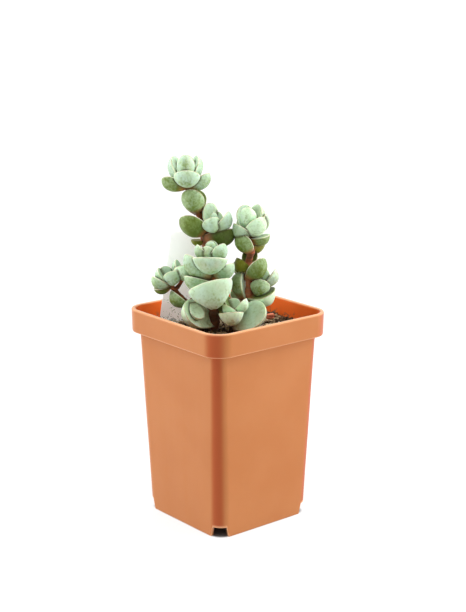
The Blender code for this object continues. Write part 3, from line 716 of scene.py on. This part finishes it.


# plant: each shoot's stems and leaves, in the plant frame. A leaf is
# (x, y, z of its node, turn, rise, length, width, roll, age and light): turn 0 points right, 90 away from the camera
# and
# -90 towards it; rise is from level; age and light runs from 0, pale and new, to 1, green and old. Past these ends it
# is
# painted light: below 0 a leaf is paler still, partly its own young bloom and partly painted light on leaves lying in
# shade, and above 1.1 it takes the olive of a leaf lit from behind. A pair gives the underside and the top their own
# values

shoots = {
    "shootTall": {
        "node": "shoot_tall",
        "stems": [
            {"route": [(-8, 3.5, 78), (-8.6, 3.5, 92), (-9.5, 3.5, 120), (-10.8, 3.5, 135), (-13, 3.5, 145),
                       (-16.5, 3, 153), (-19, 2.5, 160)], "radii": (1.8, 1.2)},
            {"route": [(-10.6, 3.2, 133.6), (-8.4, 1.4, 136.4), (-6.6, -0.4, 139.4)], "radii": (1.3, 1.0)},
        ],
        "leaves": [
            (-8.8, 3.6, 100, 14, 14, 10, 8, 0, 1.0),
            (-9.2, 3.6, 111.5, 40, 18, 10.5, 8.0, 0, 0.9),
            (-9.2, 3.4, 112.5, 174, 30, 7, 6.6, 0, 0.9),
            (-9.4, 3.4, 121.5, 22, 24, 9.5, 7.2, 0, 0.9),
            (-10.6, 3.3, 132.9, 168, -4, 7.0, 5.6, 0, 1.4),
            (-10.8, 3.2, 134.6, -8, 10, 15.8, 12.4, -26, 1.0),
            (-10.9, 3.5, 137.2, -146, 34, 14.4, 12.8, 24, 0.72),
            (-10.9, 3.5, 138.2, 42, 50, 11, 9, 0, 0.8),
            (-14.6, 3.3, 147.0, -110, 60, 12.6, 11.4, 0, 0.5),
            (-14.0, 3.5, 146, 100, 52, 12.5, 10, 0, 0.8),
            (-18.6, 2.7, 158.9, 180, 11, 12.6, 8.8, 42, 0.55),
            (-18.4, 2.7, 158.8, 0, 26, 12.4, 9.6, -22, 0.35),
            (-18.4, 1.4, 159.8, -92, 49, 9.6, 12.4, 0, 0.2),
            (-18.6, 2.7, 158.8, 90, 50, 12.0, 12, 0, 0.2),
            (-19, 2.5, 159.6, 148, 58, 15.0, 10.2, 8, 0.05),
            (-19, 2.5, 159.6, 30, 62, 14.8, 9.8, -8, 0.05),
            (-19, 2.3, 159.8, -92, 76, 14.6, 8.4, 0, 0.0),
            (-19, 2.5, 159.8, 88, 79, 13.8, 8.6, 0, 0.0),
            (-6.8, -0.4, 138.9, -98, 44, 9.4, 8.8, 22, 0.1),
            (-6.5, -0.4, 138.8, -12, 47, 12.0, 10.0, 0, 0.2),
            (-6.5, -0.4, 139.0, 128, 74, 12.8, 8.8, 0, 0.1),
            (-6.5, -0.4, 138.8, 70, 58, 9.5, 8, 0, 0.1),
            (-6.5, -0.6, 139.4, -60, 82, 8.0, 4.2, 0, 0.0),
        ],
    },
    "shootFront": {
        "node": "shoot_front",
        "stems": [
            {"route": [(-5.5, -6, 78), (-5.8, -6, 92), (-6.5, -7, 105.5), (-7, -7.5, 118.5), (-7.3, -7, 128)],
             "radii": (2.3, 1.4)},
        ],
        "leaves": [
            (-6.2, -6.2, 96.2, -154, 27, 18.4, 14.4, -46, (-0.6, -0.9)),
            (-15.8, -9.8, 105.9, -62, -40, 10.0, 6.8, 0, -0.7),
            (-6.2, -6.4, 100, 58, 30, 6.6, 7, 0, 0.8),
            (-6.9, -7, 110.6, -94, 27, 17, 20.4, 17, -0.3),
            (-6.6, -7, 111.5, 84, 52, 12, 13, 0, 0.3),
            (-6.9, -7.2, 115, 188, 12, 14, 10.6, 18, 0.35),
            (-7, -7.4, 118.6, -174, 36, 16.4, 12.0, 24, 0.3),
            (-7, -7.4, 119.4, -6, 24, 11.8, 10.6, -20, 0.3),
            (-7.2, -7.0, 126.2, -94, 12, 13.0, 16.4, 0, 0.05),
            (-7.2, -7.0, 125.8, 84, 22, 8.0, 11, 0, 0.3),
            (-8.2, -7.6, 126.4, -104, 58, 8.2, 6.4, 0, 0.0),
            (-6.3, -7.2, 126.6, -42, 52, 9.8, 9.2, 0, 0.2),
            (-8.6, -7.0, 126.8, -160, 48, 9.0, 7.6, 0, 0.2),
            (-7.3, -7, 127.8, 88, 68, 7.6, 6.0, 0, 0.2),
            (-7.5, -7.2, 128.2, -90, 76, 7.4, 4.6, 0, 0.0),
        ],
    },
    "shootLeft": {
        "node": "shoot_left",
        "stems": [
            {"route": [(-13.5, 1.5, 80), (-13.8, 1.5, 91.5), (-15.6, 1.2, 98.8), (-19.0, 0.8, 103.4), (-24, 0, 109),
                       (-27.2, -0.5, 113)], "radii": (1.2, 1.0)},
            {"route": [(-24.6, 0, 109.6), (-22.4, 1.6, 112), (-20.4, 2.4, 116)], "radii": (1.0, 0.8)},
        ],
        "leaves": [
            (-18.4, 0.8, 102.9, -156, 38, 11.2, 10.0, 0, 0.5),
            (-18.2, 1.0, 103, 24, 40, 6.0, 5, 0, 0.9),
            (-26.8, -0.4, 112.0, 190, -12, 8.4, 6.6, 0, 0.8),
            (-27.0, -0.5, 112.6, -152, 26, 10.4, 8.6, 0, 0.35),
            (-27.1, -0.5, 114.0, -66, 42, 9.6, 8.8, 0, 0.2),
            (-27.1, -0.5, 112.8, 120, 54, 9.5, 8, 0, 0.2),
            (-27.2, -0.5, 113, 168, 50, 9.4, 7.6, 0, 0.1),
            (-27.2, -0.5, 113, -10, 66, 9.2, 6.0, 0, 0.0),
            (-20.8, 1.4, 116.2, -80, 42, 10.0, 9.4, 0, -0.6),
            (-20.6, 2.5, 115.6, 166, 62, 9.2, 7.0, 0, 0.1),
            (-20.3, 2.5, 115.6, 12, 69, 10.6, 7.4, 0, 0.0),
        ],
    },
    "shootRight": {
        "node": "shoot_right",
        "stems": [
            {"route": [(6, 1.5, 78), (6, 1.5, 92.7), (9.9, 1.5, 106.8), (10.3, 1.5, 113.6), (10.0, 1.5, 121.9),
                       (11.2, 1.5, 129.2), (10.4, 1.5, 136)], "radii": (2.2, 1.3)},
            {"route": [(9.8, 1.5, 106), (13.0, 1.5, 107.6), (16.8, 1, 111.6)], "radii": (1.3, 1.0)},
        ],
        "leaves": [
            (8.0, 1.8, 103, 96, 20, 12.5, 12, 0, 0.9),
            (8.9, 1.0, 105.4, 168, 80, 13.8, 13.0, 0, (0.5, -1.0)),
            (9.8, 2.2, 106.8, -22, 10, 14.2, 13.2, 12, (-0.7, 1.1)),
            (15.8, 0.6, 107.2, -97, 58, 10.2, 9.2, 0, 0.45),
            (16.8, 1, 111.8, -8, 50, 10.2, 8.4, 0, 0.15),
            (16.8, 1, 111.4, 100, 52, 10, 8, 0, 0.2),
            (16.8, 1, 111.6, 172, 68, 10, 8.0, 0, 0.2),
            (10.2, 1.5, 115.8, -42, 50, 13, 11.2, 0, 0.6),
            (9.6, 1.8, 115.6, 112, 34, 11.5, 10.6, 0, 0.8),
            (10.0, 1.2, 119.8, -150, 42, 8.4, 8.6, 0, 1.3),
            (9.8, 1.5, 121, 70, 58, 9, 8, 0, 0.8),
            (10.6, 1.5, 128.6, -136, 52, 11.4, 10.2, 0, 0.55),
            (10.8, 1.8, 127.6, 92, 30, 11, 10, 0, 0.7),
            (11.0, 1.5, 131, 60, -8, 9, 9, 0, 1.4),
            (11.0, 1.5, 134.5, -8, 7, 9.6, 8.8, 0, (0.6, -0.2)),
            (11.0, 1.5, 136.4, -152, 30, 10.4, 10.0, 0, 0.25),
            (10.2, 1.2, 137.3, -48, 42, 12.0, 11.0, 0, -0.6),
            (10.4, 1.8, 135.4, 98, 40, 12, 11, 0, 0.2),
            (10.2, 0.6, 138.8, -105, 70, 11.8, 8.0, 0, -0.8),
            (10.4, 1.5, 136, 50, 62, 15.2, 10.8, -15, 0.1),
            (10.2, 1.5, 136, -12, 48, 13.6, 8.8, 0, 0.1),
            (10.2, 1.5, 136, 122, 68, 14.5, 9.6, 0, 0.05),
            (10.2, 1.5, 136, 80, 82, 12.0, 7.0, 0, 0.0),
        ],
    },
    "shootLow": {
        "node": "shoot_low",
        "stems": [
            {"route": [(4.4, -9.5, 84), (4.2, -9.4, 92), (3.8, -9.4, 96.5), (3.4, -9, 102.5)], "radii": (1.4, 1.1)},
        ],
        "leaves": [
            (2.4, -9.8, 95.4, -5, 29, 18.4, 14.0, 44, -0.2),
            (3.4, -9, 100.9, -104, 12, 12.0, 11.6, 8, -1.0),
            (3.4, -9.4, 101.6, -140, 34, 7.6, 7.2, 0, -0.6),
            (3.6, -9, 101.6, -28, 48, 9.2, 7.4, 0, -0.6),
            (3.4, -9, 102, 100, 58, 6.6, 6.4, 0, 0.2),
            (3.0, -8.8, 101.8, 152, 56, 8.6, 6.4, 0, 0.6),
        ],
    },
}

leafForm = {
    "widest": 0.58,        # share of the length where it is widest
    "base": 0.40,          # half width at the foot, as a share of the widest
    "depth": 0.50,         # how far the underside hangs, as a share of the width
    "hang": 1.4,           # above 1 the underside leaves the margin at a slant, below 1 upright
    "dome": 0.09,
    "channel": 0.10,       # how far the top dips along its middle
    "curl": 0.06,
    "keel": 0.035,
    "rings": 30,
    "sides": 44,
    "bloom": (0.390, 0.530, 0.340),
    "bloomCool": (0.440, 0.600, 0.455),
    "bloomWarm": (0.520, 0.540, 0.360),
    "bloomPale": (0.710, 0.930, 0.650),
    "bloomOld": (0.230, 0.340, 0.085),
    "flesh": (0.175, 0.260, 0.022),
    "oldFlesh": (0.075, 0.110, 0.010),
    "litFlesh": (0.170, 0.175, 0.003),
    "margin": (0.760, 0.760, 0.560),
    "marginRed": (0.330, 0.190, 0.100),
    "blush": (0.420, 0.135, 0.045),
    # painted shade at the feet of the leaves, where they crowd against the stem
    "creviceShade": (0.085, 0.034, 0.008),
    # painted shade where a leaf comes within crowdReach of another
    "seamShade": (0.070, 0.066, 0.014),
    "crowdReach": 1.6,     # leaves closer than this darken towards each other
}


def halfWidth(t):
    # a sine from the clasping foot up to the widest place, then a rounded tip that falls as a superellipse
    early = leafForm["base"] + (1 - leafForm["base"]) * np.sin(math.pi / 2 * np.clip(t / leafForm["widest"], 0, 1))
    late = np.clip((t - leafForm["widest"]) / (1 - leafForm["widest"]), 0, 1)
    return np.where(t < leafForm["widest"], early, np.maximum(0, 1 - late ** 2.3) ** 0.52)


def makeLeaf(entry, seed):
    # a D-shaped section swept along the leaf: the top a shallow dome with a channel, the underside half an
    # ellipse with a soft keel. Rows crowd at the tip, and columns crowd at the margin, where the surface turns
    x, y, z, turn, rise, length, width, roll, ageAndLight = entry
    ageAndLight, ageAndLightAbove = ageAndLight if isinstance(ageAndLight, tuple) else (ageAndLight, ageAndLight)
    rows, sides = leafForm["rings"], leafForm["sides"]
    u = np.linspace(0, 1, rows + 1)[:-1]
    t = np.sin(math.pi / 2 * u) ** 1.2
    v = np.linspace(0, 1, sides // 2, endpoint=False)
    sweep = math.pi * (v - np.sin(2 * math.pi * v) / (2 * math.pi) * 0.8)
    angle = np.concatenate([sweep, sweep + math.pi])
    half = (width / 2 * halfWidth(t))[:, None]
    depth = leafForm["depth"] * min(1, 1.2 * length / width) ** 3    # a leaf broader than it is long is thinner
    c, s = np.cos(angle)[None], np.sin(angle)[None]
    top = s >= 0
    middle = np.sin(math.pi * np.clip(t, 0, 1))[:, None]
    up = np.where(top, leafForm["dome"] * half * s - leafForm["channel"] * half * middle * np.clip(s, 0, 1) ** 4,
                  2 * depth * half * -np.abs(s) ** leafForm["hang"]
                  - leafForm["keel"] * half * middle * np.abs(s) ** 14)
    across = half * c
    along = length * t[:, None] - 0.5 + 0 * c
    up = up + leafForm["curl"] * length * t[:, None] ** 2
    points = np.stack([along, across, up], -1)
    tip = np.array([[length - 0.5, 0, (leafForm["curl"] - 0.02) * length]])
    uneven = Waves(seed, length * 0.7)
    fine = Waves(seed + 500, length * 0.22)
    points += points * np.array([0, 1, 1]) * (0.035 * uneven.at(points) + 0.008 * fine.at(points))[..., None]
    flat = points.reshape(-1, 3)
    foot = points[:1].mean(1)
    allPoints = np.concatenate([flat, foot, tip])
    first, last = np.arange(sides), np.arange(sides) + (rows - 1) * sides
    caps = np.concatenate([poleTriangles(len(flat), first, True), poleTriangles(len(flat) + 1, last, False)])
    ways = plantFrame @ turnAbout("z", math.radians(turn)) @ turnAbout("y", -math.radians(rise))
    ways = ways @ turnAbout("x", math.radians(roll))
    placed = allPoints @ ways.T + plantFrame @ np.array([x, y, z])
    margin = np.concatenate([points[:, 0], points[:, sides // 2], tip])
    toMargin = np.linalg.norm(points[:, :, None] - margin[None, None], axis=3).min(2)
    edge = np.clip(1 - toMargin / 0.5, 0, 1) * np.clip(t[:, None] * 5, 0, 1)
    rim = np.clip(1 - toMargin / 2.4, 0, 1) * np.clip(t[:, None] * 4 - 0.4, 0, 1)
    keel = np.where(top, 0.0, np.abs(s) ** 7) * middle
    upper = np.where(top, 1.0, 0.0) + 0 * t[:, None]
    spread = {"leafEdge": edge, "leafRim": rim, "leafKeel": keel, "leafUpper": upper, "leafAlong": t[:, None] + 0 * c,
              "leafAgeAndLight": np.where(s > 0.02, ageAndLightAbove, ageAndLight) + 0 * t[:, None]}
    atPoles = {"leafEdge": (0, 1), "leafRim": (0, 1), "leafKeel": (0, 0), "leafUpper": (0, 0), "leafAlong": (0, 1),
               "leafAgeAndLight": (ageAndLight, ageAndLightAbove)}
    attributes = {key: np.concatenate([grid.ravel(), atPoles[key]]) for key, grid in spread.items()}
    return placed, gridQuads(rows, sides), caps, attributes


def spline(points, perSpan):
    # Catmull-Rom: each span is a cubic whose ends aim along its neighbours
    knots = np.asarray(points, float)
    knots = np.concatenate([[2 * knots[0] - knots[1]], knots, [2 * knots[-1] - knots[-2]]])
    t = np.linspace(0, 1, perSpan, endpoint=False)[:, None]
    spans = [0.5 * (2 * b + (c - a) * t + (2 * a - 5 * b + 4 * c - d) * t ** 2 + (3 * b - a - 3 * c + d) * t ** 3)
             for a, b, c, d in zip(knots, knots[1:], knots[2:], knots[3:])]
    return np.concatenate(spans + [knots[-2:-1]])


stemForm = {
    "sides": 28,
    "perSpan": 16,
    "swelling": 0.32,      # how much it thickens where leaves join
    "bark": (0.140, 0.048, 0.020),
    "barkRed": (0.420, 0.095, 0.030),
    "barkPale": (0.460, 0.195, 0.090),
    # painted shade on the stems near the soil
    "barkLowShade": (0.065, 0.034, 0.013),
}


def makeStem(stem, leaves, seed):
    # a tube along the spline: the radius tapers, swells at each leaf's node and has fine rings and ribs
    route = spline(stem["route"], stemForm["perSpan"])
    share = np.linspace(0, 1, len(route))
    radius = stem["radii"][0] + (stem["radii"][1] - stem["radii"][0]) * share
    nodes = np.array([leaf[:3] for leaf in leaves])
    nearest = np.linalg.norm(route[:, None] - nodes[None], axis=2).min(1)
    radius = radius * (1 + stemForm["swelling"] * np.exp(-(nearest / 1.6) ** 2))
    angle = np.linspace(0, 2 * math.pi, stemForm["sides"], endpoint=False)
    ribs = 1 + 0.03 * np.cos(5 * angle + seed)[None] + 0.035 * np.sin(route[:, 2:] * 2.6 + seed)
    rings = carry(route, radius[:, None] * ribs, stemForm["sides"])
    rough = Waves(seed, 2.4)
    middle = route[:, None]
    rings = middle + (rings - middle) * (1 + 0.05 * rough.at(rings))[..., None]
    rings[-1] = middle[-1] + (rings[-1] - middle[-1]) * 0.6
    return closedTube(rings @ plantFrame.T)


def leafFinish():
    finish = Finish("crassula leaf", 0.55)
    shader = finish.shader
    shader.inputs["Subsurface Weight"].default_value = 0.22
    shader.inputs["Subsurface Radius"].default_value = (0.9, 1.0, 0.35)
    shader.inputs["Subsurface Scale"].default_value = 0.0016
    shader.inputs["Specular IOR Level"].default_value = 0.25
    shader.inputs["Sheen Weight"].default_value = 0.05
    shader.inputs["Sheen Roughness"].default_value = 0.6
    edge, rim, keel, upper = (finish.attribute(key) for key in ("leafEdge", "leafRim", "leafKeel", "leafUpper"))
    ageAndLight, along = finish.attribute("leafAgeAndLight"), finish.attribute("leafAlong")
    clouds = finish.noise(330, detail=4, roughness=0.6)
    powder = finish.noise(2600, detail=3, roughness=0.7)
    patches = finish.noise(140, detail=2)
    flesh = finish.mix(ageAndLight, leafForm["flesh"], leafForm["oldFlesh"])
    # painted light: from 1.1 up the flesh turns to the olive of a leaf lit from behind
    flesh = finish.mix(finish.ramp(ageAndLight, 1.1, 1.35), flesh, leafForm["litFlesh"])
    mottle = finish.noise(850, detail=3, roughness=0.6)
    bloom = finish.mix(finish.ramp(patches, 0.38, 0.62), leafForm["bloom"], leafForm["bloomCool"])
    bloom = finish.mix(finish.ramp(finish.noise(105, detail=3, stretch=(1, 1, 0.5)), 0.52, 0.72, 0.0, 0.5), bloom,
                       leafForm["bloomWarm"])
    bloom = finish.mix(finish.ramp(ageAndLight, 0.2, 0.8), bloom, leafForm["bloomOld"])
    # below 0 the bloom turns paler: partly the leaf's own young bloom, partly painted light on leaves lying in shade
    bloom = finish.mix(finish.ramp(ageAndLight, -1.0, 0.0, 0.9, 0.0), bloom, leafForm["bloomPale"])
    bloom = finish.mix(finish.sum("MULTIPLY", rim, finish.ramp(ageAndLight, 0.2, 0.8, 0.42, 0.12)), bloom, leafForm["bloomPale"])
    rubbed = finish.sum("MULTIPLY", keel, finish.ramp(clouds, 0.35, 0.62, 0.15, 0.55))
    worn = finish.sum("ADD", finish.ramp(clouds, 0.45, 0.75, 0.0, 0.30), rubbed)
    worn = finish.sum("ADD", worn, finish.ramp(ageAndLight, 0.1, 1.0, 0.02, 0.90))
    worn = finish.sum("ADD", worn, finish.ramp(mottle, 0.35, 0.7, -0.13, 0.28))
    worn = finish.sum("ADD", worn, finish.ramp(powder, 0.52, 0.78, 0.0, 0.15))
    worn = finish.sum("ADD", worn, finish.ramp(along, 0.1, 0.5, 0.25, 0.0))
    shade = finish.mix(finish.ramp(worn, 0.0, 1.15), bloom, flesh)
    foot = finish.sum("MULTIPLY", finish.ramp(along, 0.06, 0.44, 1.0, 0.0), finish.ramp(ageAndLight, -0.9, 0.9, 0.05, 0.95))
    foot = finish.sum("MULTIPLY", foot, finish.ramp(ageAndLight, 1.1, 1.3, 1.0, 0.3))
    shade = finish.mix(foot, shade, leafForm["blush"])
    # painted shade: each leaf darkens towards its foot, where the leaves crowd in against the stem
    shade = finish.mix(finish.ramp(along, 0.0, 0.15, 0.85, 0.0), shade, leafForm["creviceShade"])
    # painted shade: dark seams where a leaf comes close to another one
    shade = finish.mix(finish.ramp(finish.attribute("leafCrowdShade"), 0.28, 0.95, 0.0, 0.9), shade, leafForm["seamShade"])
    margin = finish.mix(finish.ramp(patches, 0.5, 0.6, 0.0, 0.6), leafForm["margin"], leafForm["marginRed"])
    fading = finish.ramp(ageAndLight, 0.9, 1.3, 0.85, 0.0)
    shade = finish.mix(finish.sum("MULTIPLY", finish.ramp(edge, 0.2, 0.7), fading), shade, margin)
    finish.colour(shade)
    finish.roughness(finish.ramp(worn, 0.0, 0.9, 0.66, 0.44))
    under = finish.bump(clouds, 0.00025, 0.5)
    finish.bump(powder, 0.00006, 0.6, finish.bump(mottle, 0.00012, 0.6, under))
    return finish.material


def stemFinish():
    finish = Finish("crassula stem", 0.75)
    rings = finish.noise(500, detail=5, stretch=(0.5, 0.5, 2.0))
    flakes = finish.noise(1300, detail=4, roughness=0.65)
    shade = finish.mix(finish.ramp(rings, 0.35, 0.68), stemForm["bark"], stemForm["barkRed"])
    shade = finish.mix(finish.ramp(flakes, 0.58, 0.74, 0.0, 0.5), shade, stemForm["barkPale"])
    shade = finish.mix(finish.ramp(finish.noise(75, detail=2), 0.46, 0.6, 0.0, 0.65), shade, stemForm["barkPale"])
    height = finish.nodes.new("ShaderNodeSeparateXYZ")
    finish.links.new(finish.place, height.inputs["Vector"])
    # painted shade: the stems darken towards the soil, in the shade of the leaves above
    shade = finish.mix(finish.ramp(height.outputs["Z"], 0.1, 0.107, 0.85, 0.0), shade, stemForm["barkLowShade"])
    finish.colour(shade)
    finish.bump(rings, 0.0005, 0.8, finish.bump(flakes, 0.0002, 0.7))
    return finish.material


def crowding(leaves, reach):
    # how near each point is to the nearest point of another leaf: 1 where they touch, 0 from reach on
    made = []
    for number, leaf in enumerate(leaves):
        own = leaf[0]
        others = np.concatenate([other[0] for k, other in enumerate(leaves) if k != number])
        others = others[((others > own.min(0) - reach) & (others < own.max(0) + reach)).all(1)]
        squared = (own ** 2).sum(1)[:, None] + (others ** 2).sum(1) - 2 * own @ others.T
        nearest = np.sqrt(np.maximum(squared.min(1, initial=reach ** 2), 0))
        made.append(np.clip(1 - nearest / reach, 0, 1))
    return made


def makeShoots():
    leafMaterial, stemMaterial = leafFinish(), stemFinish()
    made = []
    for number, (name, shoot) in enumerate(shoots.items()):
        stems = [makeStem(stem, shoot["leaves"], 10 * number + k) for k, stem in enumerate(shoot["stems"])]
        stemPiece = makeMesh(name + "Stem", *merge(stems))
        stemPiece.data.materials.append(stemMaterial)
        leaves = [makeLeaf(entry, 100 * number + k) for k, entry in enumerate(shoot["leaves"])]
        points, quads, triangles = merge([leaf[:3] for leaf in leaves])
        attributes = {key: np.concatenate([leaf[3][key] for leaf in leaves]) for key in leaves[0][3]}
        # nearness to the other leaves, which the leaf material turns into painted shade
        attributes["leafCrowdShade"] = np.concatenate(crowding(leaves, leafForm["crowdReach"]))
        leafPiece = makeMesh(name + "Leaves", points, quads, triangles, attributes)
        leafPiece.data.materials.append(leafMaterial)
        for piece in (stemPiece, leafPiece):
            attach(piece, "root")
            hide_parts(shoot["node"])
            made.append(piece)
    return made


# studio: pale floor, two large soft lights at the sides and a bright surround

studio = {
    "lens": 85.36,
    "sensor": 36.0,
    "azimuth": math.radians(50.46),
    "elevation": math.radians(14.58),
    "distance": 683.9,
    "aim": (2.70, 101.94),       # to the right of the pot's axis, and up
    "floorRadius": 6.0,
    "floorColour": (0.30, 0.30, 0.30),
    "surround": 0.9,
    "surroundFront": 0.35,
    "floorGlow": 0.70,
    "farGlow": 0.2,
    "leftLight": 4.3,
    "rightLight": 5.8,
    "topLight": 2.4,
}


def aimed(direction):
    # turns an object's -Z against the direction, with its X level
    return direction.to_track_quat("Z", "Y").to_euler()


def makeStudio():
    from mathutils import Matrix, Vector
    scene = bpy.context.scene
    azimuth, elevation = studio["azimuth"], studio["elevation"]
    back = Vector((math.sin(azimuth) * math.cos(elevation), -math.cos(azimuth) * math.cos(elevation), math.sin(elevation)))
    right = Vector((math.cos(azimuth), math.sin(azimuth), 0))
    aim = (right * studio["aim"][0] + Vector((0, 0, studio["aim"][1]))) * 0.001
    camera = bpy.data.objects.new("camera", bpy.data.cameras.new("camera"))
    camera.data.lens = studio["lens"]
    camera.data.sensor_width = studio["sensor"]
    camera.data.clip_start = 0.01
    stand = Matrix((right, back.cross(right), back)).transposed().to_4x4()
    stand.translation = aim + back * studio["distance"] * 0.001
    camera.matrix_world = stand
    scene.collection.objects.link(camera)
    scene.camera = camera

    angle = np.linspace(0, 2 * math.pi, 96, endpoint=False)
    disc = np.stack([np.cos(angle), np.sin(angle), 0 * angle], -1) * studio["floorRadius"] * 1000
    floor = makeMesh("floor", np.concatenate([disc, [[0, 0, 0]]]), (), poleTriangles(96, np.arange(96), False))
    finish = Finish("floor paper", 0.9)
    finish.shader.inputs["Specular IOR Level"].default_value = 0.1
    finish.shader.inputs["Emission Color"].default_value = (1, 1, 1, 1)
    # the paper is overexposed except under the pot: its glow starts outside the foot and grows far out
    spot = finish.nodes.new("ShaderNodeSeparateXYZ")
    finish.links.new(finish.place, spot.inputs["Vector"])
    sides = [finish.sum("POWER", finish.sum("ABSOLUTE", spot.outputs[axis], 0), 8) for axis in ("X", "Y")]
    outward = finish.sum("POWER", finish.sum("ADD", *sides), 1 / 8)
    glow = finish.sum("ADD", finish.ramp(outward, 0.0268, 0.0284, 0.0, studio["floorGlow"]),
                      finish.ramp(outward, 0.15, 1.2, 0.0, studio["farGlow"]))
    finish.links.new(glow, finish.shader.inputs["Emission Strength"])
    finish.colour(finish.mix(finish.noise(40), studio["floorColour"], tuple(0.995 * v for v in studio["floorColour"])))
    floor.data.materials.append(finish.material)

    for name, turn, lift, size, power, colour in (
            ("left light", -97, 12, (0.5, 0.8), studio["leftLight"], (1, 1, 1)),
            ("right light", 97, 12, (0.5, 0.8), studio["rightLight"], (1, 1, 1)),
            ("top light", 10, 74, (0.7, 0.7), studio["topLight"], (1, 1, 1))):
        lamp = bpy.data.lights.new(name, "AREA")
        lamp.shape = "RECTANGLE"
        lamp.size, lamp.size_y = size
        lamp.energy = power
        lamp.color = colour
        way = azimuth + math.radians(turn)
        up = math.radians(lift)
        direction = Vector((math.sin(way) * math.cos(up), -math.cos(way) * math.cos(up), math.sin(up)))
        holder = bpy.data.objects.new(name, lamp)
        holder.location = Vector((0, 0, 0.09)) + direction * 0.62
        holder.rotation_euler = aimed(direction)
        scene.collection.objects.link(holder)

    world = bpy.data.worlds.new("surround")
    scene.world = world
    world.use_nodes = True
    nodes, links = world.node_tree.nodes, world.node_tree.links
    shade = nodes["Background"]
    shade.inputs["Color"].default_value = (1, 1, 1, 1)
    # dark on the camera's side, so that what faces the camera squarely stays deep in colour
    way = nodes.new("ShaderNodeTexCoord")
    facing = nodes.new("ShaderNodeVectorMath")
    facing.operation = "DOT_PRODUCT"
    facing.inputs[1].default_value = (math.sin(azimuth), -math.cos(azimuth), 0)
    links.new(way.outputs["Generated"], facing.inputs[0])
    fall = nodes.new("ShaderNodeMapRange")
    fall.interpolation_type = "SMOOTHSTEP"
    links.new(facing.outputs["Value"], fall.inputs["Value"])
    for key, value in (("From Min", 0.0), ("From Max", 0.7), ("To Min", studio["surround"]), ("To Max", studio["surroundFront"])):
        fall.inputs[key].default_value = value
    links.new(fall.outputs["Result"], shade.inputs["Strength"])
    plain = nodes.new("ShaderNodeBackground")
    plain.inputs["Color"].default_value = (1, 1, 1, 1)
    plain.inputs["Strength"].default_value = 1.0
    choose = nodes.new("ShaderNodeMixShader")
    rays = nodes.new("ShaderNodeLightPath")
    links.new(rays.outputs["Is Camera Ray"], choose.inputs["Fac"])
    links.new(shade.outputs["Background"], choose.inputs[1])
    links.new(plain.outputs["Background"], choose.inputs[2])
    links.new(choose.outputs["Shader"], nodes["World Output"].inputs["Surface"])
    scene.view_settings.view_transform = "Standard"
    scene.view_settings.look = "None"
    print("studio ready")


def dress():
    for piece, node, slotName in (
            (makePot(), "pot", "pot_plastic"),
            (makeSoil(), "soil", "soil"),
            (makeCrumbs(), "soil", "soil"),
            (makeFibres(), "soil", "soil"),
            (makeLabel(), "label", "label_plastic"),
            (makeChip(), "bark_chip", "bark")):
        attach(piece, "root")
        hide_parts(node)
        print("made", piece.name, len(piece.data.polygons))
    for piece in makeShoots():
        print("made", piece.name, len(piece.data.polygons))


makeStudio()
dress()
